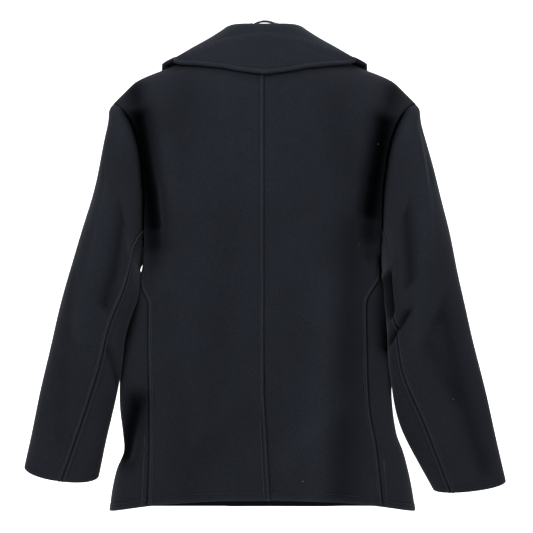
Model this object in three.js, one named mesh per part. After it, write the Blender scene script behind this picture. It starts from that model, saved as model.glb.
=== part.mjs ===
// A double-breasted wool pea coat hanging on a plain hanger, in millimetres.
// +Z is up, the coat's front faces -Y and the wearer's left is +X.
// The origin is the inside top of the hanger's hook, where a rail holds it.
import * as THREE from "three";
import { mergeVertices } from "three/addons/utils/BufferGeometryUtils.js";

// Cloth and seams
const cloth = 3;                 // melton wall
const collarLeaf = 5;            // top collar and under collar together
const seamGap = 0.3;             // between sewn pieces
const lieGap = 0.8;              // under a piece that lies on a curved panel
const roundness = 2.35;          // exponent of the body's rounded sections

// Body
const neckSide = 84;             // centre to neck point on the shoulder
const neckDrop = 0.04;           // how far down the back the neck curve reaches, as v
const shoulderRound = 0.12;      // stretch of v over which the shoulder rolls over
const hemMiddle = -753;          // back hem at the centre
const hemFront = -786;           // front hem at the centre
const hemSide = -779;            // hem at the sides
const hemBend = 2.2;             // exponent of the hem's drop towards the sides
const foldFade = 0.06;           // v over which folds fade out at the shoulder
const underarm = 0.43;           // v of the armhole's lowest point
const armholeBack = { left: 19.5, right: 22 };    // degrees that an armhole reaches round to the back
const armholeLean = { left: 0.8, right: 0.6 };    // share by which that grows near the shoulder
const armholeFront = 36;         // and to the front
const armSteps = 15;             // facets on each half of an armhole
const sideSeamStep = 12;         // armhole facet where the side-back seam starts
const frontStep = 8;             // armhole facet where the front panel turns under the arm
const underAngle = 118;          // where that turn reaches the hem, in degrees round the body
const neckShare = 0.2;           // share of a back panel's width that the neck curve takes

// Closing
const overlap = 72;              // front edge past the centre
const underlap = 62;             // hidden front edge past the centre
const breakHeight = -262;        // where the lapels start to roll
const ventTop = 0.75;            // v of the centre vent's top
const ventLap = 10;              // over-lap of the vent at the hem
const ventUnder = 32;            // hidden under-lap of the vent
const lapDepth = cloth + 1.4;    // how far a lapped layer lies under the other
const ventFade = { above: 0.06, over: 0.05, reach: 34, width: 18 };    // where the right back sinks
const frontFade = { reach: 60, width: 30 };                           // where the right front sinks
const buttonRadius = 15;
const buttonThick = 4.5;
const buttonRows = [-322, -434, -546];
const buttonColumns = [62, -50];

// Shoulder line under the cloth's outer face: distance from centre, height
const ridgeRows = [
  { x: 0, z: -34 }, { x: 60, z: -41 }, { x: 88, z: -50 }, { x: 125, z: -62 }, { x: 162, z: -76 },
  { x: 204, z: -94 }, { x: 225, z: -113 }, { x: 243, z: -131 }, { x: 260, z: -150 },
];

// Body sections from the shoulder (v 0) to the hem (v 1): half widths and depths
const bodyRows = [
  { v: 0.0, left: 243, right: 243, back: 68, front: 70 },
  { v: 0.1, left: 228, right: 228, back: 80, front: 82 },
  { v: 0.2, left: 211, right: 210, back: 90, front: 92 },
  { v: 0.32, left: 197, right: 193, back: 96, front: 97 },
  { v: 0.43, left: 189, right: 183, back: 98, front: 99 },
  { v: 0.51, left: 205, right: 191, back: 98, front: 99 },
  { v: 0.6, left: 222, right: 196, back: 96, front: 98 },
  { v: 0.68, left: 230, right: 198, back: 94, front: 96 },
  { v: 0.75, left: 231, right: 204, back: 92, front: 94 },
  { v: 0.82, left: 226, right: 211, back: 90, front: 92 },
  { v: 0.86, left: 225, right: 221.5, back: 89, front: 91 },
  { v: 0.9, left: 236, right: 229, back: 88, front: 90 },
  { v: 0.95, left: 243.5, right: 236, back: 86, front: 88 },
  { v: 1.0, left: 247.5, right: 241, back: 85, front: 87 },
];

// Distance of the side-back seams from the centre
const sideSeamRows = [
  { v: 0.39, left: 178, right: 169 }, { v: 0.48, left: 180, right: 161 },
  { v: 0.62, left: 182, right: 160 }, { v: 0.77, left: 180, right: 164 },
  { v: 0.86, left: 180, right: 175 }, { v: 1.0, left: 183, right: 185 },
];

// Troughs (deep > 0) and ridges (deep < 0) of the body, each along a line from start to end
const bodyFolds = [
  { face: 1, x0: 206, z0: -108, x1: 200, z1: -155, wide: 12, deep: 6 },
  { face: 1, x0: 200, z0: -155, x1: 182, z1: -266, wide: 15, deep: 12 },
  { face: 1, x0: 182, z0: -266, x1: 170, z1: -385, wide: 16, deep: 14 },
  { face: 1, x0: -206, z0: -110, x1: -190, z1: -165, wide: 14, deep: 6 },
  { face: 1, x0: -190, z0: -165, x1: -175, z1: -249, wide: 15, deep: 11 },
  { face: 1, x0: -175, z0: -249, x1: -163, z1: -345, wide: 16, deep: 13 },
  { face: 1, x0: 199, z0: -600, x1: 222, z1: -690, wide: 13, deep: 10 },
  { face: 1, x0: -190, z0: -380, x1: -196, z1: -520, wide: 10, deep: 9 },
  { face: 1, x0: 150, z0: -200, x1: 156, z1: -420, wide: 16, deep: -3 },
  { face: 1, x0: -140, z0: -330, x1: -120, z1: -740, wide: 20, deep: 4 },
  { face: 1, x0: -95, z0: -420, x1: -78, z1: -760, wide: 22, deep: -3 },
  { face: -1, x0: 192, z0: -120, x1: 176, z1: -370, wide: 13, deep: 11 },
  { face: -1, x0: -194, z0: -120, x1: -170, z1: -360, wide: 13, deep: 12 },
  { face: -1, x0: 125, z0: -300, x1: 138, z1: -740, wide: 24, deep: 4 },
  { face: -1, x0: -118, z0: -330, x1: -140, z1: -740, wide: 22, deep: 5 },
  { face: -1, x0: -200, z0: -600, x1: -214, z1: -700, wide: 16, deep: 7 },
];

// Sleeve sections: outer and inner edge seen from behind, depths, middle and back seam angle
const sleeveRows = {
  left: [
    { t: 0.0, ox: 243, oz: -131, ix: 196, iz: -386, back: 56, front: 62, mid: 0, seam: 132, sag: 0 },
    { t: 0.12, ox: 253, oz: -180, ix: 198, iz: -397, back: 64, front: 66, mid: 12, seam: 132, sag: 0 },
    { t: 0.25, ox: 265, oz: -252, ix: 199, iz: -412, back: 62, front: 72, mid: 30, seam: 129, sag: 0 },
    { t: 0.4, ox: 286, oz: -332, ix: 202.5, iz: -442, back: 54, front: 74, mid: 44, seam: 127, sag: 0 },
    { t: 0.55, ox: 314, oz: -425, ix: 219, iz: -502, back: 47, front: 70, mid: 46, seam: 121, sag: 0 },
    { t: 0.7, ox: 338, oz: -519, ix: 227.5, iz: -565, back: 41, front: 62, mid: 38, seam: 114, sag: 2 },
    { t: 0.85, ox: 362, oz: -617, ix: 245, iz: -640, back: 37, front: 46, mid: 18, seam: 104, sag: 6 },
    { t: 1.0, ox: 385, oz: -711, ix: 266, iz: -727, back: 31, front: 33, mid: -4, seam: 92, sag: 12 },
  ],
  right: [
    { t: 0.0, ox: 243, oz: -131, ix: 184.5, iz: -386, back: 56, front: 62, mid: 0, seam: 132, sag: 0 },
    { t: 0.12, ox: 254, oz: -180, ix: 187, iz: -397, back: 63, front: 64, mid: 12, seam: 138, sag: 0 },
    { t: 0.25, ox: 272, oz: -252, ix: 186, iz: -412, back: 60, front: 70, mid: 28, seam: 141, sag: 0 },
    { t: 0.4, ox: 290, oz: -332, ix: 187.5, iz: -448, back: 50, front: 74, mid: 40, seam: 143, sag: 0 },
    { t: 0.55, ox: 308.5, oz: -420, ix: 193.5, iz: -496, back: 40, front: 68, mid: 42, seam: 142, sag: 0 },
    { t: 0.7, ox: 330, oz: -508, ix: 199, iz: -566, back: 36, front: 57, mid: 32, seam: 134, sag: 1 },
    { t: 0.85, ox: 358, oz: -616, ix: 218, iz: -650, back: 34, front: 42, mid: 14, seam: 117, sag: 3 },
    { t: 1.0, ox: 387, oz: -734, ix: 271, iz: -748, back: 30, front: 33, mid: -4, seam: 122, sag: 6 },
  ],
};

const sleeveRoundness = 2.2;     // exponent of the sleeves' rounded sections
const sleeveBlend = 0.16;        // t over which a sleeve grows out of its armhole
const sleeveHead = 0.06;         // t over which its wall turns from the body's
const sleeveLength = 600;        // for the folds' distances
const frontSeam = { armhole: 132, cuff: 128 };    // angle of the seam at the sleeve's front
const topColumns = 22;           // facets round the top sleeve
const sleeveGap = 0.2;           // between the two sleeve pieces, in degrees

// Troughs and ridges of the sleeves, along lines of section t and angle
const sleeveFolds = {
  left: [
    { t0: 0.04, a0: 0, t1: 0.05, a1: 50, wide: 20, deep: -9 },
    { t0: 0.04, a0: 360, t1: 0.05, a1: 310, wide: 20, deep: -9 },
    { t0: 0.2, a0: 68, t1: 0.62, a1: 80, wide: 12, deep: -5 },
    { t0: 0.15, a0: 98, t1: 0.5, a1: 104, wide: 10, deep: 5 },
    { t0: 0.45, a0: 205, t1: 0.75, a1: 235, wide: 13, deep: 5 },
    { t0: 0.62, a0: 130, t1: 0.72, a1: 165, wide: 9, deep: 4 },
    { t0: 0.3, a0: 275, t1: 0.66, a1: 285, wide: 14, deep: 4 },
  ],
  right: [
    { t0: 0.04, a0: 0, t1: 0.05, a1: 50, wide: 20, deep: -9 },
    { t0: 0.04, a0: 360, t1: 0.05, a1: 310, wide: 20, deep: -9 },
    { t0: 0.1, a0: 42, t1: 0.62, a1: 112, wide: 13, deep: -5 },
    { t0: 0.16, a0: 95, t1: 0.42, a1: 104, wide: 10, deep: 5 },
    { t0: 0.52, a0: 118, t1: 0.58, a1: 166, wide: 9, deep: 7 },
    { t0: 0.27, a0: 158, t1: 0.46, a1: 160, wide: 17, deep: 20 },
    { t0: 0.6, a0: 66, t1: 0.95, a1: 60, wide: 14, deep: 4 },
    { t0: 0.45, a0: 215, t1: 0.68, a1: 250, wide: 13, deep: 6 },
  ],
};

// Collar from the centre back (s 0) to the front end (s 1): roll line, then edge of the fall
const collarRows = [
  { s: 0.0, rx: 0, ry: 50, rz: -9, ex: 0, ev: 0.084, lift: 9 },
  { s: 0.2, rx: 34, ry: 44, rz: -8, ex: 51, ev: 0.066, lift: 8 },
  { s: 0.35, rx: 52, ry: 29, rz: -8, ex: 102, ev: 0.034, lift: 8 },
  { s: 0.5, rx: 62, ry: 3, rz: -11, ex: 148, ev: 0.009, lift: 9 },
  { s: 0.62, rx: 66, ry: -20, rz: -26, ex: 163, ev: -0.004, lift: 9 },
  { s: 0.75, rx: 67, ry: -42, rz: -46, ex: 158, ev: -0.03, lift: 8 },
  { s: 0.88, rx: 56, ry: -59, rz: -64, ex: 140, ev: -0.058, lift: 7 },
  { s: 1.0, rx: 45, ry: -70, rz: -80, ex: 112, ev: -0.085, lift: 7 },
];
const collarEnd = 0.082;         // v of the collar's front end on the neck edge
const collarFoot = 4 * seamGap;  // how far inside the neck edge the collar stands

// Lapel: heights on the roll line with the outer edge's distance from the centre and height
const lapelRows = [
  { inner: -101, x: 138, z: -142 }, { inner: -116, x: 130, z: -156 }, { inner: -132, x: 119, z: -170 },
  { inner: -148, x: 106, z: -184 }, { inner: -165, x: 90, z: -198 }, { inner: -182, x: 72, z: -212 },
  { inner: -206, x: 46, z: -228 }, { inner: -230, x: 8, z: -246 }, { inner: -254, x: -46, z: -262 },
];
const rightLapelRows = 5;        // rows of the right lapel that the left front leaves free

// Pocket welts on the fronts
const pocketTop = { x: 142, z: -440 };
const pocketEnd = { x: 160, z: -600 };
const pocketWide = 28;

// Hanger and hook
const hangerReach = 203;
const hangerDeep = 15;
const hangerTall = 24;
const hangerMiddle = -57;
const hangerFlat = { from: 10, width: 70 };    // distance over which the bar meets the shoulders
const hangerEnd = 0.12;          // how small the rounded ends get
const wire = 3;                  // hook wire radius
const hookWide = 31;             // hook loop semi-axes of the wire's middle
const hookTall = 25;

const wool = { color: 0x232a33, roughness: 0.95, metalness: 0 };
const woolLight = { color: 0x2a2f39, roughness: 0.95, metalness: 0 };
const plastic = { color: 0x14161b, roughness: 0.4, metalness: 0 };
const wood = { color: 0x6b4a2e, roughness: 0.55, metalness: 0 };
const chrome = { color: 0xc9ccd0, roughness: 0.18, metalness: 1 };

const coat = new THREE.Group();
coat.name = "pea_coat";

const mix = (a, b, t) => a + (b - a) * t;
const clamp = (x, low, high) => Math.min(high, Math.max(low, x));
const smooth = (x) => { const t = clamp(x, 0, 1); return t * t * (3 - 2 * t); };
const radians = (degrees) => degrees * Math.PI / 180;
const degrees = (angle) => angle * 180 / Math.PI;
const power = (x, e) => Math.sign(x) * Math.abs(x) ** e;
const vector = (x, y, z) => new THREE.Vector3(x, y, z);

// A smooth curve through one column of a table
function along(rows, key, column, at) {
  const last = rows.length - 1;
  const x = clamp(at, rows[0][key], rows[last][key]);
  let i = 0;
  while (i < last - 1 && x > rows[i + 1][key]) i++;
  const slope = (k) => {
    const a = rows[Math.max(0, k - 1)], b = rows[Math.min(last, k + 1)];
    return (b[column] - a[column]) / (b[key] - a[key]);
  };
  const a = rows[i], b = rows[i + 1], span = b[key] - a[key], t = (x - a[key]) / span;
  const rise = b[column] - a[column];
  const first = slope(i) * span, second = slope(i + 1) * span;
  return a[column] + t * (first + t * (3 * rise - 2 * first - second + t * (first + second - 2 * rise)));
}

const ridge = (x) => along(ridgeRows, "x", "z", Math.abs(x));

// Height of the hem under a point of a ring
function hemHeight(sine, cosine) {
  return mix(cosine >= 0 ? hemMiddle : hemFront, hemSide, Math.abs(sine) ** hemBend);
}

// Distance from a point to a line, with both ends faded
function foldAmount(u, v, u0, v0, u1, v1, wide) {
  const du = u1 - u0, dv = v1 - v0;
  const t = clamp(((u - u0) * du + (v - v0) * dv) / (du * du + dv * dv), 0, 1);
  const d = Math.hypot(u - u0 - du * t, v - v0 - dv * t);
  return Math.exp(-(d / wide) * (d / wide));
}

function bodyPush(x, z, cosine) {
  let push = 0;
  for (const fold of bodyFolds) {
    if (fold.face * cosine <= 0) continue;
    push -= fold.deep * foldAmount(x, z, fold.x0, fold.z0, fold.x1, fold.z1, fold.wide);
  }
  return push * smooth(Math.abs(cosine) * 3);
}

// The body's outer face: angle 0 at the centre back, 90 at the wearer's left, v from shoulder to hem
function bodySpot(angle, v) {
  const sine = Math.sin(radians(angle)), cosine = Math.cos(radians(angle));
  const bend = 2 / roundness;
  const half = along(bodyRows, "v", sine >= 0 ? "left" : "right", v);
  const roll = clamp(v / shoulderRound, 0, 1);
  const deep = along(bodyRows, "v", cosine >= 0 ? "back" : "front", v) * Math.sqrt(roll * (2 - roll));
  const x = half * power(sine, bend), y = deep * power(cosine, bend);
  const top = ridge(x), z = top + v * (hemHeight(sine, cosine) - top);
  const out = vector(x / (half * half), y / (deep * deep + 1), 0).normalize();
  return vector(x, y, z).addScaledVector(out, bodyPush(x, z, cosine) * smooth(v / foldFade));
}

// A point of the body with the direction out of the cloth, raised or sunk by lift
function bodyPoint(angle, v, lift = 0) {
  const da = 0.4, low = Math.max(v - 0.003, 0.0004), high = Math.min(v + 0.003, 1);
  const round = bodySpot(angle + da, v).sub(bodySpot(angle - da, v));
  const down = bodySpot(angle, high).sub(bodySpot(angle, low));
  const out = round.cross(down).normalize();
  return { at: bodySpot(angle, v).addScaledVector(out, lift), out };
}

// Angle and v of the body where it has a given distance from the centre and height
function bodyAngle(x, v, face) {
  const half = along(bodyRows, "v", x >= 0 ? "left" : "right", v);
  const angle = degrees(Math.asin(clamp(power(x / half, roundness / 2), -1, 1)));
  return face > 0 ? angle : 180 - angle;
}
function bodyLevel(x, z, face) {
  const top = ridge(x);
  return (z - top) / ((face > 0 ? hemMiddle : hemFront) - top);
}
function bodyAt(x, z, face, lift = 0) {
  const v = Math.max(bodyLevel(x, z, face), 0.0008);
  return bodyPoint(bodyAngle(x, v, face), v, lift);
}

// A sheet is a list of patches; a patch is a grid of points, each with its direction out
const patch = (rows, columns, spot) => ({ rows, columns, spot });

// A closed wall of cloth from a sheet: outer face, inner face and the cut edges between them
function wall(patches, thick, flip = false) {
  const points = [], index = new Map(), faces = [];
  const add = (p) => {
    const key = [p.at.x, p.at.y, p.at.z].map((c) => c.toFixed(3)).join();
    if (!index.has(key)) { index.set(key, points.length); points.push(p); }
    return index.get(key);
  };
  for (const { rows, columns, spot } of patches) {
    const grid = [];
    for (let i = 0; i <= rows; i++) {
      grid.push([]);
      for (let j = 0; j <= columns; j++) grid[i].push(add(spot(i, j)));
    }
    for (let i = 0; i < rows; i++) {
      for (let j = 0; j < columns; j++) {
        const a = grid[i][j], b = grid[i][j + 1], c = grid[i + 1][j + 1], d = grid[i + 1][j];
        for (const f of [[a, d, b], [b, d, c]]) {
          if (new Set(f).size === 3) faces.push(flip ? [f[0], f[2], f[1]] : f);
        }
      }
    }
  }
  const used = new Map();
  for (const f of faces) for (let k = 0; k < 3; k++) used.set(`${f[k]},${f[(k + 1) % 3]}`, f);
  const n = points.length, all = [];
  for (const [a, b, c] of faces) all.push([a, b, c], [a + n, c + n, b + n]);
  for (const edge of used.keys()) {
    const [a, b] = edge.split(",").map(Number);
    if (used.has(`${b},${a}`)) continue;
    if (points[a].at.z > points[b].at.z) all.push([a, a + n, b], [b, a + n, b + n]);
    else all.push([a, a + n, b + n], [a, b + n, b]);
  }
  const inner = points.map((p) => p.at.clone().addScaledVector(p.out, -thick));
  const spots = [...points.map((p) => p.at), ...inner].flatMap((p) => [p.x, p.y, p.z]);
  const geometry = new THREE.BufferGeometry();
  geometry.setAttribute("position", new THREE.Float32BufferAttribute(spots, 3));
  geometry.setIndex(all.flat());
  return geometry;
}

function piece(name, geometry, look) {
  geometry.computeVertexNormals();
  const mesh = new THREE.Mesh(geometry, new THREE.MeshStandardMaterial(look));
  mesh.name = name;
  coat.add(mesh);
  return mesh;
}

// The armhole's edge as an angle and a v, for a half turn from its top to its lowest point.
// inset pulls it into the hole, to leave the seam's gap.
function armhole(sign, turn, inset = 0) {
  const side = sign > 0 ? "left" : "right";
  const back = armholeBack[side] * (1 + armholeLean[side] * Math.cos(turn));
  const reach = Math.sin(turn) >= 0 ? back : armholeFront;
  const angle = 90 - (reach - inset * 0.25) * Math.sin(turn);
  const v = underarm / 2 * (1 - Math.cos(turn) * (1 - inset / 125));
  return { angle: sign * angle, v };
}

const lowerRows = 12;
const rowShare = (k) => k / lowerRows;
const turnAt = (step) => Math.PI * step / armSteps;
const signOf = (side) => (side === "left" ? 1 : -1);

// Angle of the side-back seam
function sideSeam(side, v) {
  const sign = signOf(side);
  return bodyAngle(sign * along(sideSeamRows, "v", side, v), v, 1);
}
function sideSeamFrom(side, share) {
  const start = armhole(signOf(side), turnAt(sideSeamStep));
  const v = mix(start.v, 1, share);
  return { angle: mix(start.angle, sideSeam(side, v), smooth(share * 4)), v };
}

// How far a panel lies under the one that laps over it
function ventSink(x, v) {
  const down = smooth((v - ventTop + ventFade.above) / ventFade.over);
  return lapDepth * down * smooth((x + ventFade.reach) / ventFade.width);
}
const ventEdge = (v) => ventLap * clamp((v - ventTop) / (1 - ventTop), 0, 1);
function frontSink(x, v) {
  return lapDepth * smooth((x - frontEdge("left", v) + frontFade.reach) / frontFade.width);
}

// Rows of a back panel: armhole facets first, then even rows down to the hem
function backRow(side, i) {
  const sign = signOf(side);
  if (i <= sideSeamStep) return armhole(sign, turnAt(i));
  return sideSeamFrom(side, rowShare(i - sideSeamStep));
}

// Gap at an edge, as an angle at this row
const gapAngle = (side, v) => degrees(seamGap / 2 / along(bodyRows, "v", side, v));

// The shoulder seam: both panels end in upright edges, half a gap from the ridge
function shoulderEdge(point, face) {
  point.at.y += face * seamGap / 2;
  point.out.y *= smooth(Math.abs(point.at.y) / 12);
  point.out.normalize();
  return point;
}

function backPanel(side) {
  const sign = signOf(side), columns = 11, rows = sideSeamStep + lowerRows;
  const spot = (i, j) => {
    const row = backRow(side, i), u = 1 - j / columns;
    const neck = neckDrop * (1 - clamp(u / neckShare, 0, 1) ** 2);
    const v = Math.max(row.v, 0) * (1 - neck) + neck;
    const lap = side === "left" ? ventEdge(v) : 0;
    const start = sign * bodyAngle(seamGap / 2, v, 1) - bodyAngle(lap, v, 1) * smooth(lap);
    const end = row.angle - sign * gapAngle(side, v) * (i >= sideSeamStep ? 1 : 0);
    const angle = mix(start, end, u);
    const flat = bodyPoint(angle, v);
    const point = side === "right" ? bodyPoint(angle, v, -ventSink(flat.at.x, v)) : flat;
    return i === 0 ? shoulderEdge(point, 1) : point;
  };
  const patches = [patch(rows, columns, spot)];
  if (side === "right") patches.push(ventFlap(spot, rows, columns));
  return wall(patches, cloth, sign < 0);
}

// The hidden strip of the right back panel under the vent
function ventFlap(spot, rows, columns) {
  const first = rows - 5, strips = 2;
  return patch(rows - first, strips, (i, j) => {
    const edge = spot(first + i, columns);
    if (j === 0) return edge;
    const v = bodyLevel(0, edge.at.z, 1);
    const angle = bodyAngle(ventUnder * j / strips, v, 1);
    const point = bodyPoint(angle, v, -lapDepth);
    point.at.z = edge.at.z;
    return point;
  });
}

// Front edge of a front panel: the roll line down to the break, then straight to the hem
function frontEdge(side, v) {
  const reach = side === "left" ? overlap : underlap;
  const breakV = bodyLevel(reach, breakHeight, -1);
  return v < breakV ? mix(neckSide, -reach, v / breakV) : -reach;
}

function frontPanel(side) {
  const sign = signOf(side), columns = 13, under = 2 * armSteps - frontStep - sideSeamStep;
  const rows = frontStep + lowerRows;
  const lowered = (angle, v) => {
    const flat = bodyPoint(angle, v);
    return side === "right" ? bodyPoint(angle, v, -frontSink(flat.at.x, v)) : flat;
  };
  const turn = armhole(sign, -turnAt(frontStep));
  const endAngle = (share) => mix(turn.angle, sign * underAngle, smooth(share));
  const lowRow = (share) => ({ v: mix(turn.v, 1, share), angle: endAngle(share) });
  const frontSpot = (i, j) => {
    const row = i <= frontStep ? armhole(sign, -turnAt(i)) : lowRow(rowShare(i - frontStep));
    const edgeX = sign * frontEdge(side, row.v);
    let start = bodyAngle(edgeX, row.v, -1);
    if (sign < 0) start -= 360;
    const point = lowered(mix(start, row.angle, j / columns), row.v);
    return i === 0 ? shoulderEdge(point, -1) : point;
  };
  // Under the arm each column starts on the armhole
  const underSpot = (i, j) => {
    const step = frontStep + j;
    const onBack = step > armSteps;
    const top = onBack ? armhole(sign, turnAt(2 * armSteps - step)) : armhole(sign, -turnAt(step));
    const share = rowShare(i), v = mix(top.v, 1, share);
    if (j === under) {
      const seam = sideSeamFrom(side, share);
      return lowered(seam.angle + sign * gapAngle(side, seam.v), seam.v);
    }
    if (j === 0) return lowered(endAngle(share), v);
    const hem = mix(endAngle(1), sideSeam(side, 1), j / under);
    return lowered(mix(top.angle, hem, smooth(share)), v);
  };
  return wall([patch(rows, columns, frontSpot), patch(lowerRows, under, underSpot)], cloth, sign < 0);
}

// A sleeve's outer face: t from armhole to cuff, angle 0 at its outer edge and 90 at its back
function sleeveSpot(side, t, angle) {
  const sign = signOf(side), rows = sleeveRows[side];
  const get = (column) => along(rows, "t", column, t);
  const c = Math.cos(radians(angle)), s = Math.sin(radians(angle));
  const bend = 2 / sleeveRoundness;
  const cx = (get("ox") + get("ix")) / 2, cz = (get("oz") + get("iz")) / 2;
  const wx = (get("ox") - get("ix")) / 2, wz = (get("oz") - get("iz")) / 2;
  const across = power(c, bend), depth = get(s >= 0 ? "back" : "front") * power(s, bend);
  const length = sleeveLength, turned = angle < 0 ? angle + 360 : angle;
  let push = 0;
  for (const { t0, a0, t1, a1, wide, deep } of sleeveFolds[side]) {
    push -= deep * foldAmount(t * length, turned, t0 * length, a0, t1 * length, a1, wide);
  }
  const out = vector(c * sign, s, 0).normalize();
  const ring = vector(sign * (cx + wx * across), get("mid") + depth, cz + wz * across - get("sag") * s);
  ring.addScaledVector(out, push);
  if (t >= sleeveBlend) return ring;
  const seam = armhole(sign, radians(angle), 2 * seamGap);
  const hole = bodySpot(seam.angle, seam.v);
  const down = vector(sign, 0, -0.4).normalize();
  hole.addScaledVector(down, seamGap * (1 + 5 * smooth(2 * c - 1)));
  return hole.lerp(ring, Math.sin(Math.PI / 2 * t / sleeveBlend));
}

function sleevePoint(side, t, angle) {
  const sign = signOf(side);
  const low = Math.max(t - 0.01, 0), high = Math.min(t + 0.01, 1);
  const round = sleeveSpot(side, t, angle + 1.5).sub(sleeveSpot(side, t, angle - 1.5));
  const down = sleeveSpot(side, high, angle).sub(sleeveSpot(side, low, angle));
  const out = down.cross(round).normalize().multiplyScalar(sign);
  if (t < sleeveHead) {
    const seam = armhole(sign, radians(angle));
    const share = smooth((Math.cos(radians(angle)) + 0.35) / 0.8) * (1 - t / sleeveHead);
    out.lerp(bodyPoint(seam.angle, Math.max(seam.v, 0.002)).out, share).normalize();
  }
  return { at: sleeveSpot(side, t, angle), out };
}

const sleeveSteps = [
  0, 0.03, 0.07, 0.115, 0.16, 0.21, 0.27, 0.33, 0.4, 0.47, 0.54, 0.61, 0.68, 0.76, 0.84, 0.92, 1,
];

// The upper sleeve goes round the outside from seam to seam, the under sleeve round the inside
function sleevePiece(side, upper) {
  const sign = signOf(side), gap = sleeveGap;
  const columns = upper ? topColumns : 2 * armSteps - topColumns;
  return wall([patch(sleeveSteps.length - 1, columns, (i, j) => {
    const t = sleeveSteps[i];
    const seam = along(sleeveRows[side], "t", "seam", t);
    const front = mix(frontSeam.armhole, frontSeam.cuff, t);
    const low = upper ? -front + gap : seam + gap, high = upper ? seam - gap : 360 - front - gap;
    return sleevePoint(side, t, mix(low, high, j / columns));
  })], cloth, sign < 0);
}

// Neck edge that the collar is sewn to: back neck curve, then the front edge down to the collar's end
function neckPoint(s) {
  const side = Math.sign(s) || 1, k = Math.abs(s);
  if (k <= 0.5) {
    const share = k / 0.5, angle = bodyAngle(neckSide * share, 0.02, 1);
    return bodyPoint(side * angle, neckDrop * (1 - share * share));
  }
  const v = mix(0, collarEnd, (k - 0.5) / 0.5);
  return bodyPoint(side * bodyAngle(frontEdge("left", v), v, -1), v);
}

// The collar's visible face: s round the neck, w from neck seam over the roll to the fall's edge
function collarSpot(s, w) {
  const side = Math.sign(s) || 1, k = Math.abs(s);
  const get = (column) => along(collarRows, "s", column, k);
  const neck = neckPoint(s).at;
  const roll = vector(side * get("rx"), get("ry"), get("rz"));
  const ev = get("ev"), ex = get("ex"), face = ev >= 0 ? 1 : -1;
  const level = Math.max(Math.abs(ev), 0.0008);
  const edge = bodyPoint(side * bodyAngle(ex, level, face), level, get("lift"));
  const away = edge.at.clone().sub(roll).setZ(0).normalize();
  const seam = neckPoint(Math.min(s + 0.02, 1)).at.sub(neckPoint(Math.max(s - 0.02, -1)).at);
  const open = seam.cross(neckPoint(s).out).normalize();
  const foot = neck.clone().addScaledVector(open, collarFoot).addScaledVector(away, -collarLeaf);
  const standing = foot.clone().lerp(roll, 0.55).addScaledVector(away, -2);
  const turn = roll.clone().addScaledVector(away, 12).add(vector(0, 0, -7));
  const middle = turn.clone().lerp(edge.at, 0.5).addScaledVector(edge.out, 3);
  const knots = [foot, standing, roll, turn, middle, edge.at];
  const curve = new THREE.CatmullRomCurve3(knots, false, "centripetal");
  return w > 0.45 ? aboveBody(curve.getPoint(w), get("lift")) : curve.getPoint(w);
}

// A point kept at least this far outside the body
function aboveBody(point, lift) {
  const face = point.y >= 0 ? 1 : -1, level = bodyLevel(point.x, point.z, face);
  if (level <= 0.0008) {
    point.z = Math.max(point.z, ridge(point.x) + lift);
    return point;
  }
  const body = bodyAt(point.x, point.z, face);
  const height = point.clone().sub(body.at).dot(body.out);
  return height < lift ? point.addScaledVector(body.out, lift - height) : point;
}

function collarPoint(s, w) {
  const ds = 0.01, dw = 0.01;
  const round = collarSpot(Math.min(s + ds, 1), w).sub(collarSpot(Math.max(s - ds, -1), w));
  const over = collarSpot(s, Math.min(w + dw, 1)).sub(collarSpot(s, Math.max(w - dw, 0)));
  return { at: collarSpot(s, w), out: round.cross(over).normalize() };
}

function collar() {
  const round = 40, across = 10;
  return wall([patch(across, round, (i, j) => collarPoint(1 - 2 * j / round, i / across))], collarLeaf);
}

// A lapel lies on its own front, from the roll line out to its peaked edge
function lapel(side) {
  const sign = signOf(side), columns = 4;
  const rows = side === "left" ? lapelRows.length - 1 : rightLapelRows;
  const rollAt = (which, z) => frontEdge(which, bodyLevel(60, z, -1));
  return wall([patch(rows, columns, (i, j) => {
    const row = lapelRows[i], share = j / columns, roll = rollAt(side, row.inner) + 1;
    const inner = side === "left" ? roll : Math.max(roll, 12 - rollAt("left", row.inner));
    return bodyAt(sign * mix(inner, row.x, share), mix(row.inner, row.z, share), -1, lieGap + cloth);
  })], cloth, sign < 0);
}

// A pocket welt lies on its front panel, a little slanted
function pocketWelt(side) {
  const sign = signOf(side), rows = 7, columns = 2;
  return wall([patch(rows, columns, (i, j) => {
    const x = mix(pocketTop.x, pocketEnd.x, i / rows) + pocketWide * (j / columns - 0.5);
    const z = mix(pocketTop.z, pocketEnd.z, i / rows);
    return bodyAt(sign * x, z, -1, lieGap + cloth);
  })], cloth, sign < 0);
}

// A four-hole button's body with a raised rim, turned about its own axis
function button(name, x, z) {
  const r = buttonRadius, h = buttonThick;
  const profile = [
    [0, 0], [r - 2, 0], [r, 1.4], [r, h - 1], [r - 1, h], [r - 3, h], [r - 5, h - 1.2], [0, h - 1.2],
  ];
  const outline = profile.map(([a, b]) => new THREE.Vector2(a, b));
  const geometry = mergeParts(new THREE.LatheGeometry(outline, 16));
  const mesh = piece(name, geometry, plastic);
  const seat = bodyAt(x, z, -1, 0.5);
  mesh.position.copy(seat.at);
  mesh.quaternion.setFromUnitVectors(vector(0, 1, 0), seat.out);
}

function mergeParts(geometry) {
  geometry.deleteAttribute("normal");
  geometry.deleteAttribute("uv");
  const merged = mergeVertices(geometry, 1e-4);
  const old = merged.index.array, kept = [];
  for (let i = 0; i < old.length; i += 3) {
    const [a, b, c] = [old[i], old[i + 1], old[i + 2]];
    if (a !== b && b !== c && c !== a) kept.push(a, b, c);
  }
  merged.setIndex(kept);
  return merged;
}

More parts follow.
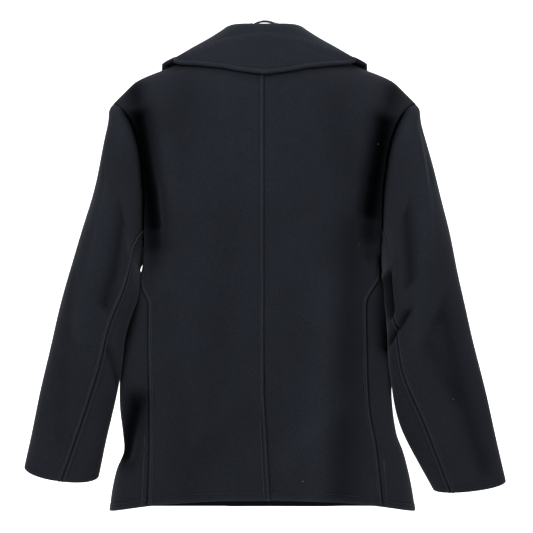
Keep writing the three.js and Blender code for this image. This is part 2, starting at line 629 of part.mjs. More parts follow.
// The hanger's bar: rounded sections along the shoulder line, inside the cloth
function hangerBar() {
  const steps = 32, around = 12, points = [], faces = [];
  const top = (x) => {
    const rest = ridge(x) - cloth - 2 * seamGap;
    return mix(hangerMiddle, rest, smooth((Math.abs(x) - hangerFlat.from) / hangerFlat.width));
  };
  for (let i = 0; i <= steps; i++) {
    const x = mix(-hangerReach, hangerReach, i / steps);
    const end = Math.sqrt(Math.max(hangerEnd, 1 - (Math.abs(x) / hangerReach) ** 14));
    for (let k = 0; k < around; k++) {
      const a = 2 * Math.PI * k / around;
      const y = hangerDeep / 2 * Math.cos(a) * end;
      const z = top(x) - hangerTall / 2 + hangerTall / 2 * Math.sin(a) * end;
      points.push(x, y, z - (1 - end) * 2);
    }
  }
  for (let i = 0; i < steps; i++) {
    for (let k = 0; k < around; k++) {
      const a = i * around + k, b = i * around + (k + 1) % around;
      faces.push(a, b, a + around, b, b + around, a + around);
    }
  }
  const last = steps * around;
  for (let k = 1; k < around - 1; k++) faces.push(0, k + 1, k, last, last + k, last + k + 1);
  const geometry = new THREE.BufferGeometry();
  geometry.setAttribute("position", new THREE.Float32BufferAttribute(points, 3));
  geometry.setIndex(faces);
  return geometry;
}

// The hook's wire: a stem that bends out into an open loop round the rail
function hookLine() {
  const bottom = wire - 2 * hookTall;
  const points = [vector(0, 0, hangerMiddle + seamGap), vector(0, 0, bottom - 4)];
  for (let turn = -50; turn <= 200; turn += 25) {
    const a = radians(turn);
    points.push(vector(hookWide * Math.cos(a), 0, wire - hookTall + hookTall * Math.sin(a)));
  }
  return new THREE.CatmullRomCurve3(points, false, "centripetal");
}

function hookWire() {
  const section = new THREE.Shape();
  section.absarc(0, 0, wire, 0, 2 * Math.PI, false);
  const sweep = { steps: 40, curveSegments: 5, extrudePath: hookLine() };
  return mergeParts(new THREE.ExtrudeGeometry(section, sweep));
}

for (const side of ["left", "right"]) {
  piece(`back_${side}`, backPanel(side), wool);
  piece(`front_${side}`, frontPanel(side), wool);
  piece(`topsleeve_${side}`, sleevePiece(side, true), woolLight);
  piece(`undersleeve_${side}`, sleevePiece(side, false), wool);
  piece(`lapel_${side}`, lapel(side), wool);
  piece(`pocket_welt_${side}`, pocketWelt(side), woolLight);
}
piece("collar", collar(), woolLight);
buttonRows.forEach((z, row) => buttonColumns.forEach((x, column) => {
  button(`button_${2 * row + column + 1}`, x, z);
}));
piece("hanger_bar", hangerBar(), wood);
piece("hanger_hook", hookWire(), chrome);

export default coat;
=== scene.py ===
import math
import bpy
import numpy as np
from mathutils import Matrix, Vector


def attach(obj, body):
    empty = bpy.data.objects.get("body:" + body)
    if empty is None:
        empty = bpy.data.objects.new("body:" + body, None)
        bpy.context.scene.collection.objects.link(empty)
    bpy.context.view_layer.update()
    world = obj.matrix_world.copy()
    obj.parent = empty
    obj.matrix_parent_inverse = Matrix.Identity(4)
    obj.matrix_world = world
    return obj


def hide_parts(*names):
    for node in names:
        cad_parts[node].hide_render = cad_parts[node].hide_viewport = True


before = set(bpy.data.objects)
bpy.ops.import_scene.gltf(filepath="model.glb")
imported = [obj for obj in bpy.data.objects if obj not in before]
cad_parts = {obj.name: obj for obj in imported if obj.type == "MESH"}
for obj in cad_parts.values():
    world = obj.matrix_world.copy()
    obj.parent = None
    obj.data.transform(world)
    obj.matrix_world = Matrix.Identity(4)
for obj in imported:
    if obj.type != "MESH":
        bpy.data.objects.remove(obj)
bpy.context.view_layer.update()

# A wool pea coat on a hanger. Sizes are millimetres here and turn to metres as a mesh is made.
mm = 0.001

# Camera: behind the coat, level, framed as the photo is
cameraSet = {"distance": 2600, "middleX": -3.2, "middleZ": -390, "field": 853}


def makeCamera():
    data = bpy.data.cameras.new("camera")
    data.sensor_width = 36
    data.lens = data.sensor_width * cameraSet["distance"] / cameraSet["field"]
    camera = bpy.data.objects.new("camera", data)
    bpy.context.scene.collection.objects.link(camera)
    camera.location = Vector((cameraSet["middleX"], cameraSet["distance"], cameraSet["middleZ"])) * mm
    camera.rotation_euler = (math.pi / 2, 0, math.pi)
    bpy.context.scene.camera = camera


makeCamera()
print("camera placed")

# Cloth and seams, as in the frame
clothSet = {"wall": 3.0, "collarLeaf": 5.0, "seamGap": 0.3, "lieGap": 0.8, "roundness": 2.35,
            "sleeveRoundness": 2.2}

# Body of the coat
bodySet = {
    "neckSide": 84, "neckDrop": 0.04, "neckShare": 0.2, "shoulderRound": 0.12, "foldFade": 0.06,
    "hemMiddle": -753, "hemFront": -786, "hemSide": -779, "hemBend": 2.2,
    "underarm": 0.43, "armBack": (19.5, 22), "armLean": (0.8, 0.6), "armFront": 36,
    "sideTurn": 144, "frontTurn": 96, "underAngle": 118, "overlap": 72, "underlap": 62,
    "breakHeight": -262, "ventTop": 0.75, "ventLap": 10, "ventUnder": 32, "lapDepth": 4.4,
    "ventAbove": 0.06, "ventOver": 0.05, "ventReach": 34, "ventWidth": 18,
    "frontReach": 60, "frontWidth": 30, "collarEnd": 0.082,
}


# A short table: the columns' names, then its rows
def table(columns, rows):
    return [dict(zip(columns.split(), row)) for row in rows]


# Shoulder line under the cloth: distance from the centre and height
ridgeRows = table("x z", [
    (0, -34), (60, -41), (88, -50), (125, -62), (162, -76), (204, -94), (225, -113), (243, -131),
    (260, -150),
])

# Body sections from the shoulder (v 0) to the hem (v 1): half widths and depths
bodyRows = table("v left right back front", [
    (0.0, 243, 243, 68, 70), (0.1, 228, 228, 80, 82), (0.2, 211, 210, 90, 92),
    (0.32, 197, 193, 96, 97), (0.43, 194, 186, 98, 99), (0.51, 215, 201, 98, 99),
    (0.6, 227, 204, 96, 98), (0.68, 231, 203, 94, 96), (0.75, 231, 204, 92, 94),
    (0.82, 226, 211, 90, 92), (0.86, 225, 221.5, 89, 91), (0.9, 236, 229, 88, 90),
    (0.95, 243.5, 236, 86, 88), (1.0, 247.5, 241, 85, 87),
])

# Distance of the side-back seams from the centre
sideSeamRows = table("v left right", [
    (0.39, 178, 169), (0.48, 180, 161), (0.62, 182, 160), (0.77, 180, 164), (0.86, 180, 175),
    (1.0, 183, 185),
])

# Troughs (deep > 0) and ridges (deep < 0): face 1 is the back, -1 the front
bodyFolds = table("face x0 z0 x1 z1 wide deep", [
    (1, 206, -108, 200, -155, 12, 7), (1, 200, -155, 182, -266, 15, 12),
    (1, 182, -266, 174, -325, 16, 14), (1, 174, -325, 171, -356, 16, 9),
    (1, 171, -356, 169, -382, 15, 5), (1, 169, -382, 168, -410, 14, 2.2),
    (1, -206, -110, -190, -165, 12, 6), (1, -190, -165, -175, -249, 15, 11),
    (1, -175, -249, -167, -305, 16, 12), (1, -167, -305, -164, -342, 15, 8),
    (1, -164, -342, -162, -375, 14, 4.5), (1, -162, -375, -161, -420, 14, 2),
    (1, 199, -600, 222, -690, 13, 10), (1, -190, -380, -196, -520, 10, 9),
    (1, 150, -200, 156, -420, 16, -3), (1, -140, -330, -120, -740, 20, 4),
    (1, -95, -420, -78, -760, 22, -3), (-1, 192, -120, 176, -370, 13, 11),
    (-1, -194, -120, -170, -360, 13, 12), (-1, 125, -300, 138, -740, 24, 4),
    (-1, -118, -330, -140, -740, 22, 5), (-1, -200, -600, -214, -700, 16, 7),
])

# Small folds that the solids leave out
softFolds = table("face x0 z0 x1 z1 wide deep", [
    (1, 120, -110, 150, -240, 20, 1.6), (1, -110, -130, -150, -330, 18, 1.8),
    (1, 60, -330, 84, -610, 20, 1.0), (1, 30, -620, 110, -700, 22, 1.4),
    (1, -30, -690, -120, -600, 20, -1.6), (1, 140, -560, 120, -740, 16, 1.2),
    (-1, 90, -270, 150, -200, 16, 2.0), (-1, 30, -560, 96, -740, 20, 1.6),
    (-1, -90, -560, -60, -740, 18, 1.5),
])

# Sleeve sections: outer and inner edge seen from behind, depths, middle and the back seam's angle
sleeveRows = {
    "left": table("t ox oz ix iz back front mid seam sag", [
        (0.0, 243, -131, 196, -386, 56, 62, 0, 132, 0),
        (0.12, 253, -180, 198, -397, 64, 66, 12, 132, 0),
        (0.25, 265, -252, 196, -412, 62, 72, 30, 129, 0),
        (0.4, 286, -332, 200, -442, 54, 74, 44, 127, 0),
        (0.55, 314, -425, 219, -502, 47, 70, 46, 121, 0),
        (0.7, 338, -519, 227.5, -565, 41, 62, 38, 114, 2),
        (0.85, 362, -617, 245, -640, 37, 46, 18, 104, 6),
        (1.0, 385, -711, 266, -727, 31, 33, -4, 92, 12),
    ]),
    "right": table("t ox oz ix iz back front mid seam sag", [
        (0.0, 243, -131, 184.5, -386, 56, 62, 0, 132, 0),
        (0.12, 254, -180, 187, -397, 63, 64, 12, 138, 0),
        (0.25, 272, -252, 186, -412, 60, 70, 28, 141, 0),
        (0.4, 290, -332, 187.5, -448, 50, 74, 40, 143, 0),
        (0.55, 308.5, -420, 193.5, -496, 40, 68, 42, 142, 0),
        (0.7, 330, -508, 199, -566, 36, 57, 32, 134, 1),
        (0.85, 358, -616, 218, -650, 34, 42, 14, 117, 3),
        (1.0, 387, -734, 271, -748, 30, 33, -4, 122, 6),
    ]),
}

# Folds of the sleeves, along lines of section t and angle
sleeveFolds = {
    "left": table("t0 a0 t1 a1 wide deep", [
        (0.04, 0, 0.05, 50, 20, -9), (0.04, 360, 0.05, 310, 20, -9), (0.2, 68, 0.62, 80, 12, -5),
        (0.15, 98, 0.5, 104, 10, 5), (0.45, 205, 0.75, 235, 13, 5), (0.62, 130, 0.72, 165, 9, 4),
        (0.3, 275, 0.66, 285, 14, 4), (0.72, 60, 0.9, 84, 14, 1.6), (0.5, 40, 0.66, 60, 11, 1.5),
        (0.06, 30, 0.2, 44, 12, 1.8),
    ]),
    "right": table("t0 a0 t1 a1 wide deep", [
        (0.04, 0, 0.05, 50, 20, -9), (0.04, 360, 0.05, 310, 20, -9), (0.1, 42, 0.62, 112, 13, -5),
        (0.16, 95, 0.42, 104, 10, 5), (0.52, 118, 0.58, 166, 9, 7), (0.27, 158, 0.46, 160, 17, 20),
        (0.6, 66, 0.95, 60, 14, 4), (0.45, 215, 0.68, 250, 13, 6), (0.66, 92, 0.8, 74, 10, 2.4),
        (0.55, 60, 0.64, 96, 9, 2.2), (0.06, 28, 0.22, 40, 12, 1.8),
    ]),
}

# Collar from the centre back (s 0) to its front end (s 1): roll line, then the edge of the fall
collarRows = table("s rx ry rz ex ev lift", [
    (0.0, 0, 50, -9, 0, 0.084, 9), (0.2, 34, 44, -8, 51, 0.066, 8),
    (0.35, 52, 29, -8, 102, 0.034, 8), (0.5, 62, 3, -11, 148, 0.009, 9),
    (0.62, 66, -20, -26, 163, -0.004, 9), (0.75, 67, -42, -46, 158, -0.03, 8),
    (0.88, 56, -59, -64, 140, -0.058, 7), (1.0, 45, -70, -80, 112, -0.085, 7),
])

# Lapel: heights on the roll line with the outer edge's distance from the centre and height
lapelRows = table("k inner x z", [
    (0, -101, 138, -142), (1, -116, 130, -156), (2, -132, 119, -170), (3, -148, 106, -184),
    (4, -165, 90, -198), (5, -182, 72, -212), (6, -206, 46, -228), (7, -230, 8, -246),
    (8, -254, -46, -262),
])


def smooth(x):
    t = np.clip(x, 0, 1)
    return t * t * (3 - 2 * t)


def mix(a, b, t):
    return a + (b - a) * t


def power(x, e):
    return np.sign(x) * np.abs(x) ** e


def unit(v):
    return v / np.maximum(np.linalg.norm(v, axis=-1, keepdims=True), 1e-9)


def vec(*parts):
    return np.stack(np.broadcast_arrays(*[np.asarray(p, float) for p in parts]), axis=-1)


# A smooth curve through one column of a table: cubic pieces whose slopes come from both neighbours
def along(rows, key, column, at):
    k = np.array([r[key] for r in rows], float)
    c = np.array([r[column] for r in rows], float)
    x = np.clip(at, k[0], k[-1])
    i = np.clip(np.searchsorted(k, x, side="left") - 1, 0, len(k) - 2)
    low, high = np.maximum(np.arange(len(k)) - 1, 0), np.minimum(np.arange(len(k)) + 1, len(k) - 1)
    slopes = (c[high] - c[low]) / (k[high] - k[low])
    span = k[i + 1] - k[i]
    t = (x - k[i]) / span
    rise, first, second = c[i + 1] - c[i], slopes[i] * span, slopes[i + 1] * span
    return c[i] + t * (first + t * (3 * rise - 2 * first - second + t * (first + second - 2 * rise)))


def ridge(x):
    return along(ridgeRows, "x", "z", np.abs(x))


# A soft line: exp(-(distance to a segment / width) squared)
def foldAmount(u, v, u0, v0, u1, v1, wide):
    du, dv = u1 - u0, v1 - v0
    t = np.clip(((u - u0) * du + (v - v0) * dv) / (du * du + dv * dv), 0, 1)
    return np.exp(-((u - u0 - du * t) ** 2 + (v - v0 - dv * t) ** 2) / wide ** 2)


# How strongly a fold works at a point of the body
def foldAt(x, z, fold):
    return foldAmount(x, z, fold["x0"], fold["z0"], fold["x1"], fold["z1"], fold["wide"])


# How far the body's folds move its cloth: the deepest trough counts, ridges add up
def bodyPush(x, z, cosine):
    push = np.zeros(np.broadcast(x, z, cosine).shape)
    trough = push.copy()
    for fold in bodyFolds + softFolds:
        line = foldAt(x, z, fold)
        amount = fold["deep"] * line * (fold["face"] * cosine > 0)
        trough = np.maximum(trough, amount)
        push = push + np.maximum(-amount, 0)
    push = push - trough
    # slow unevenness of thick cloth, as three crossing waves
    wave = np.sin(x * 0.031 + z * 0.017 + 1.3) + np.sin(x * 0.013 - z * 0.029)
    wave = wave + np.sin(x * 0.052 + z * 0.011 + 4)
    return (push + 0.35 * wave) * smooth(np.abs(cosine) * 3)


# Half width of the body on the side of x
def halfWidth(x, v):
    left, right = along(bodyRows, "v", "left", v), along(bodyRows, "v", "right", v)
    return np.where(np.asarray(x) >= 0, left, right)


# The body's outer face: superellipse rings, angle 0 at the centre back and 90 at the wearer's left,
# that roll over the shoulder ridge at v 0 and reach the hem at v 1
def bodySpot(angle, v):
    angle, v = np.broadcast_arrays(np.asarray(angle, float), np.asarray(v, float))
    sine, cosine = np.sin(np.radians(angle)), np.cos(np.radians(angle))
    bend = 2 / clothSet["roundness"]
    half = halfWidth(sine, v)
    roll = np.clip(v / bodySet["shoulderRound"], 0, 1)
    deep = np.where(cosine >= 0, along(bodyRows, "v", "back", v), along(bodyRows, "v", "front", v))
    deep = deep * np.sqrt(roll * (2 - roll))
    x, y = half * power(sine, bend), deep * power(cosine, bend)
    top = ridge(x)
    middle = np.where(cosine >= 0, bodySet["hemMiddle"], bodySet["hemFront"])
    hem = mix(middle, bodySet["hemSide"], np.abs(sine) ** bodySet["hemBend"])
    z = top + v * (hem - top)
    out = unit(vec(x / (half * half), y / (deep * deep + 1), 0))
    return vec(x, y, z) + out * (bodyPush(x, z, cosine) * smooth(v / bodySet["foldFade"]))[..., None]


# Direction out of the body, from the cross product of its two tangents
def bodyOut(angle, v):
    low, high = np.maximum(v - 0.002, 0.0004), np.minimum(v + 0.002, 1)
    turned = bodySpot(angle + 0.3, v) - bodySpot(angle - 0.3, v)
    return unit(np.cross(turned, bodySpot(angle, high) - bodySpot(angle, low)))


def bodyAngle(x, v, face):
    half = halfWidth(x, v)
    angle = np.degrees(np.arcsin(np.clip(power(x / half, clothSet["roundness"] / 2), -1, 1)))
    return np.where(np.asarray(face) > 0, angle, 180 - angle)


def bodyLevel(x, z, face):
    top = ridge(x)
    hem = np.where(np.asarray(face) > 0, bodySet["hemMiddle"], bodySet["hemFront"])
    return (z - top) / (hem - top)


# A point of the body over (x, z) with its direction out, raised by lift
def bodyAt(x, z, face, lift):
    v = np.maximum(bodyLevel(x, z, face), 0.0008)
    angle = bodyAngle(x, v, face)
    out = bodyOut(angle, v)
    return bodySpot(angle, v) + out * lift, out


# The armhole's edge for a half turn from its top; turn is in degrees, negative on the front
def armhole(sign, turn, inset=0.0):
    s, c = np.sin(np.radians(turn)), np.cos(np.radians(turn))
    which = 0 if sign > 0 else 1
    back = bodySet["armBack"][which] * (1 + bodySet["armLean"][which] * c)
    reach = np.where(s >= 0, back, bodySet["armFront"])
    return sign * (90 - (reach - inset * 0.25) * s), bodySet["underarm"] / 2 * (1 - c * (1 - inset / 125))


def sideSeamAt(side, share):
    sign = signOf[side]
    startAngle, startV = armhole(sign, bodySet["sideTurn"])
    v = mix(startV, 1, share)
    seam = bodyAngle(sign * along(sideSeamRows, "v", side, v), v, 1)
    return mix(startAngle, seam, smooth(share * 4)), v


signOf = {"left": 1, "right": -1}

# Painted shade in the folds and painted highlight on the ridges; soft is the exponent that widens the shade
# past the trough; sleeve and sleeveWide set the painted shade on a sleeve beside the armhole
paintedShadeSet = {"share": 0.95, "deep": 11, "soft": 0.42, "sleeve": 0.85, "sleeveWide": 8}

# Distances from a sewn edge where columns stand close, and the raised band beside a welt seam
seamSet = {"steps": [0.15, 0.5, 1.0, 1.7, 2.6, 3.8, 5.0, 5.9, 6.6, 7.3, 8.2, 9.6, 12, 16, 22],
           "stitch": 6.6, "rise": 1.5, "groove": 0.9, "edgeDrop": 2.0, "hemStitch": 12}


# A welt seam's height: a raised band up to the stitch line, a groove there and a rounded drop at the seam
def welt(d, lapped):
    drop = seamSet["edgeDrop"] * (0.5 if lapped else 1) * np.exp(-(d / 1.4) ** 2)
    if not lapped:
        return -drop
    band = seamSet["rise"] * smooth(d / 1.6) * (1 - 0.75 * smooth((d - 2.4) / 3.4))
    band = band * (1 - smooth((d - 6) / 2))
    return band - drop - seamSet["groove"] * np.exp(-((d - seamSet["stitch"]) / 1.1) ** 2)


# Painted shade and highlight beside a welt seam: painted shade in the seam and the stitch line, a painted
# highlight on the raised band
def weltShading(d, lapped):
    seam = -0.6 * np.exp(-(d / 1.7) ** 2)
    if not lapped:
        return seam
    # painted highlight on the raised band
    bandHighlight = 0.5 * np.exp(-((d - 3.4) / 1.5) ** 2)
    return seam + bandHighlight - 0.25 * np.exp(-((d - seamSet["stitch"] - 0.4) / 1.4) ** 2)


# The hem's height over its last stretch: a stitch groove and a slightly fuller turned edge
def hemRelief(d):
    stitch = seamSet["hemStitch"]
    full = 0.5 * (1 - smooth((d - stitch + 1.5) / 1.5))
    return full - 0.5 * np.exp(-((d - stitch) / 0.9) ** 2)


# Painted highlight on the hem's fuller turned edge and painted shade in its stitch groove
def hemShading(d):
    return 0.25 * np.exp(-((d - 2) / 2.5) ** 2) - 0.25 * np.exp(-((d - seamSet["hemStitch"]) / 1.4) ** 2)


# How thick the wall is beside a free edge: half a circle over the first half thickness
def edgeRound(d, thick):
    return np.maximum(np.sqrt(1 - (1 - np.clip(d / (thick / 2), 0, 1)) ** 2), 0.12)


# Columns between two edges: the seam steps from each edge, evenly spaced between
def columnAngles(startAngle, endAngle, v, middle, startSteps, endSteps):
    direction = np.sign(endAngle - startAngle)
    speed = lambda a: np.linalg.norm(bodySpot(a + 0.2, v) - bodySpot(a - 0.2, v), axis=-1) / 0.4
    first, last = np.maximum(speed(startAngle), 1)[:, None], np.maximum(speed(endAngle), 1)[:, None]
    near = startAngle[:, None] + direction[:, None] * np.array(startSteps) / first
    far = endAngle[:, None] - direction[:, None] * np.array(endSteps)[::-1] / last
    share = np.linspace(0, 1, middle + 2)[None, 1:-1]
    between = mix(near[:, -1:], far[:, :1], share)
    return np.concatenate([near, between, far], axis=1)


# Distances along each row from its first column
def rowDistance(at):
    steps = np.linalg.norm(np.diff(at, axis=1), axis=-1)
    return np.concatenate([np.zeros((len(at), 1)), np.cumsum(steps, axis=1)], axis=1)


def columnDistance(at):
    steps = np.linalg.norm(np.diff(at, axis=0), axis=-1)
    return np.concatenate([np.zeros((1, at.shape[1])), np.cumsum(steps, axis=0)], axis=0)


def gridQuads(rows, columns, start=0):
    i, j = np.meshgrid(np.arange(rows - 1), np.arange(columns - 1), indexing="ij")
    a = start + i * columns + j
    return np.stack([a, a + columns, a + columns + 1, a + 1], axis=-1).reshape(-1, 4)


def makeMesh(name, points, faces, sharp=None):
    mesh = bpy.data.meshes.new(name)
    mesh.from_pydata((points * mm).tolist(), [], faces)
    mesh.polygons.foreach_set("use_smooth", np.ones(len(mesh.polygons), bool))
    mesh.update()
    piece = bpy.data.objects.new(name, mesh)
    bpy.context.scene.collection.objects.link(piece)
    if sharp:
        mesh.set_sharp_from_angle(angle=math.radians(sharp))
    return piece


# A closed wall from sheets of points: outer face, inner face a thickness below, and the cut edges.
# Points that lie together are joined first, so that neighbouring sheets share an edge.
def clothWall(name, sheets, thick, flip):
    spread = lambda s, value: np.broadcast_to(value, s["at"].shape[:2]).reshape(-1)
    at = np.concatenate([s["at"].reshape(-1, 3) for s in sheets])
    out = np.concatenate([s["out"].reshape(-1, 3) for s in sheets])
    half = np.concatenate([spread(s, s["round"]) for s in sheets])
    tone = np.concatenate([spread(s, s.get("tone", 0)) for s in sheets])
    quads, start = [], 0
    for s in sheets:
        rows, columns = s["at"].shape[:2]
        quads.append(gridQuads(rows, columns, start))
        start += rows * columns
    quads = np.concatenate(quads)
    keys, first, where = np.unique(np.round(at, 2), axis=0, return_index=True, return_inverse=True)
    at, out, half, tone = at[first], unit(out[first]), half[first], tone[first]
    quads = where.reshape(-1)[quads]
    middle = at - out * thick / 2
    outer, inner = middle + out * (half * thick / 2)[:, None], middle - out * (half * thick / 2)[:, None]
    if flip:
        quads = quads[:, ::-1]
    n = len(at)
    edges = np.concatenate([quads[:, [k, (k + 1) % 4]] for k in range(4)])
    edges = edges[edges[:, 0] != edges[:, 1]]
    code, back = edges[:, 0] * n + edges[:, 1], edges[:, 1] * n + edges[:, 0]
    rim = edges[~np.isin(code, back)]
    sides = np.stack([rim[:, 1], rim[:, 0], rim[:, 0] + n, rim[:, 1] + n], axis=-1)
    faces = []
    for quad in np.concatenate([quads, quads[:, ::-1] + n, sides]).tolist():
        kept = [q for k, q in enumerate(quad) if q != quad[k - 1]]
        if len(kept) > 2:
            faces.append(kept)
    piece = makeMesh(name, np.concatenate([outer, inner]), faces)
    # Per-point tone is painted shade below 0 and a painted highlight above 0; the inner face gets painted
    # shade
    shade = piece.data.attributes.new("tone", "FLOAT", "POINT")
    shade.data.foreach_set("value", np.clip(np.concatenate([tone, np.full(n, -0.2)]), -0.95, 0.6))
    return piece


# Threads: a short capsule of five sides for each stitch, along a line on the cloth
stitchSet = {"pitch": 3.1, "length": 2.3, "radius": 0.28, "sides": 5}
stitchLines = []


def stitchAlong(at, out):
    if len(at) > 1:
        stitchLines.append((at, out))


def threadMesh():
    points, faces, start = [], [], 0
    sides = stitchSet["sides"]
    profile = np.array([[-0.5, 0.0], [-0.42, 0.8], [0.0, 1.0], [0.42, 0.8], [0.5, 0.0]])
    turn = 2 * np.pi * np.arange(sides) / sides
    for at, out in stitchLines:
        length = np.concatenate([[0], np.cumsum(np.linalg.norm(np.diff(at, axis=0), axis=1))])
        count = int(length[-1] / stitchSet["pitch"])
        if count < 2:
            continue
        middle = (np.arange(count) + 0.5) * length[-1] / count
        read = lambda x, v: np.stack([np.interp(x, length, v[:, k]) for k in range(3)], axis=1)
        where, ahead, behind = read(middle, at), read(middle + 0.4, at), read(middle - 0.4, at)
        normal = unit(read(middle, out))
        forward = unit(ahead - behind)
        side = unit(np.cross(normal, forward))
        forwards = (profile[:, 0] * stitchSet["length"])[None, :, None, None]
        sideways = (np.maximum(profile[:, 1], 0.15) * stitchSet["radius"])[None, :, None, None]
        ring = where[:, None, None] + forward[:, None, None] * forwards
        spread = side[:, None] * np.cos(turn)[None, :, None] + normal[:, None] * np.sin(turn)[None, :, None]
        ring = ring + spread[:, None] * sideways
        rings = len(profile)
        i, j = np.meshgrid(np.arange(rings - 1), np.arange(sides), indexing="ij")
        a, b = i * sides + j, i * sides + (j + 1) % sides
        wall = np.stack([a, b, b + sides, a + sides], axis=-1).reshape(-1, 4)
        base = start + np.arange(count)[:, None, None] * rings * sides
        faces += (wall[None] + base).reshape(-1, 4).tolist()
        caps = np.stack([np.arange(sides)[::-1], np.arange(sides) + (rings - 1) * sides])
        faces += (caps[None] + base).reshape(-1, sides).tolist()
        points.append(ring.reshape(-1, 3))
        start += count * rings * sides
    return makeMesh("stitches", np.concatenate(points), faces)


# Rows of the body panels: turns beside the armhole, then shares of the way from it to the hem
upperTurns = np.concatenate([[0, 1.5, 3.5, 6], np.linspace(9, bodySet["sideTurn"], 62)])
hemSteps = np.array([19, 15, 13.4, 12.6, 12, 11.4, 10.6, 9, 6.5, 4, 2.4, 1.4, 0.7, 0.3, 0])
lowerShares = np.concatenate([np.linspace(0, 0.94, 96), 1 - hemSteps / 400])


# Finish of a panel: relief and free edges are added along its direction out
def finishPanel(at, out, relief, roundness, tone=0):
    return {"at": at + out * relief[..., None], "out": out, "round": roundness, "tone": tone}


# Painted shade along the deep folds of the body, where no light comes in, and a painted highlight along its
# ridges
def foldShading(at, face):
    tone = np.zeros(at.shape[:2])
    light = tone.copy()
    for fold in bodyFolds + softFolds:
        if fold["face"] != face:
            continue
        line = foldAt(at[..., 0], at[..., 2], fold)
        amount = paintedShadeSet["share"] * np.clip(fold["deep"] / paintedShadeSet["deep"], -0.2, 1)
        if fold["deep"] > 0:
            tone = np.minimum(tone, -amount * line ** paintedShadeSet["soft"])
        else:
            light = light - amount * line
    return tone + light


# How far the left back reaches past the centre at the vent
def ventEdge(v):
    return bodySet["ventLap"] * np.clip((v - bodySet["ventTop"]) / (1 - bodySet["ventTop"]), 0, 1)


def ventSink(x, v):
    down = smooth((v - bodySet["ventTop"] + bodySet["ventAbove"]) / bodySet["ventOver"])
    return bodySet["lapDepth"] * down * smooth((x + bodySet["ventReach"]) / bodySet["ventWidth"])


def backPanel(side):
    sign = signOf[side]
    turnAngle, turnV = armhole(sign, upperTurns)
    lowAngle, lowV = sideSeamAt(side, lowerShares[1:])
    edge, rowV = np.concatenate([turnAngle, lowAngle]), np.concatenate([turnV, lowV])
    hip = np.concatenate([np.zeros(len(turnV)), np.ones(len(lowV))])
    start = -sign * bodyAngle(0.1 if side == "left" else 1.6, rowV, 1)
    if side == "left":
        start = start - bodyAngle(ventEdge(rowV), rowV, 1) * smooth(ventEdge(rowV))
    angle = columnAngles(start, edge, rowV, 40, seamSet["steps"], seamSet["steps"])
    share = np.abs(angle - start[:, None]) / np.abs(edge - start)[:, None]
    neck = bodySet["neckDrop"] * (1 - np.clip(share / bodySet["neckShare"], 0, 1) ** 2)
    v = rowV[:, None] * (1 - neck) + neck
    at, out = bodySpot(angle, v), bodyOut(angle, v)
    if side == "right":
        at = at - out * ventSink(at[..., 0], v)[..., None]
    at[0, :, 1] += clothSet["seamGap"] / 2
    inside, across = rowDistance(at), rowDistance(at[:, ::-1])[:, ::-1]
    down = columnDistance(at[::-1])[::-1]
    vent = smooth((v - bodySet["ventTop"] + 0.01) / 0.02)
    relief = welt(inside, side == "left") * (1 if side == "left" else 1 - 0.8 * vent)
    relief = relief + mix(welt(across, False), welt(across, True), hip[:, None]) + hemRelief(down)
    # Painted shade in the folds, seams and stitch lines, painted highlight on the raised bands and the hem's
    # turned edge
    tone = foldShading(at, 1) + weltShading(inside, side == "left") * (1 - 0.7 * vent * (side == "right"))
    tone = tone + mix(weltShading(across, False), weltShading(across, True), hip[:, None]) + hemShading(down)
    roundness = edgeRound(down, clothSet["wall"])
    if side == "left":
        roundness = np.minimum(roundness, mix(1, edgeRound(inside, clothSet["wall"]), vent))
    sheet = finishPanel(at, out, relief, roundness, tone)
    sheets = [sheet]
    hemRow = int(np.argmin(np.abs(down[:, 30] - seamSet["hemStitch"])))
    stitchAlong(sheet["at"][hemRow, 1:-1], out[hemRow, 1:-1])
    column = int(np.argmin(np.abs(across[120] - seamSet["stitch"])))
    stitchAlong(sheet["at"][len(turnV) + 2:-1, column], out[len(turnV) + 2:-1, column])
    if side == "left":
        column = int(np.argmin(np.abs(inside[60] - seamSet["stitch"])))
        stitchAlong(sheet["at"][6:, column], out[6:, column])
    else:
        sheets.append(ventFlap(sheet, rowV))
    return clothWall("cloth_back_" + side, sheets, clothSet["wall"], sign > 0)


# The strip of the right back that lies under the vent
def ventFlap(sheet, rowV):
    first = int(np.argmax(rowV > bodySet["ventTop"] - 0.004))
    edge, out = sheet["at"][first:, 0], sheet["out"][first:, 0]
    steps = np.linspace(0, 1, 14)[None, :]
    x = mix(edge[:, 0][:, None], bodySet["ventUnder"], steps)
    z = np.broadcast_to(edge[:, 2][:, None], x.shape)
    v = np.minimum(bodyLevel(x, z, 1), 1)
    angle = bodyAngle(x, v, 1)
    direction = bodyOut(angle, v)
    at = bodySpot(angle, v) - direction * bodySet["lapDepth"]
    at[..., 2] = z
    at[:, 0], direction[:, 0] = edge, out
    return {"at": at, "out": direction, "round": np.ones(at.shape[:2])}


def frontEdge(side, v):
    reach = bodySet["overlap"] if side == "left" else bodySet["underlap"]
    breakV = bodyLevel(reach, bodySet["breakHeight"], -1)
    return np.where(v < breakV, mix(bodySet["neckSide"], -reach, v / breakV), -reach)


def frontSink(x, v):
    past = x - frontEdge("left", v) + bodySet["frontReach"]
    return bodySet["lapDepth"] * smooth(past / bodySet["frontWidth"])


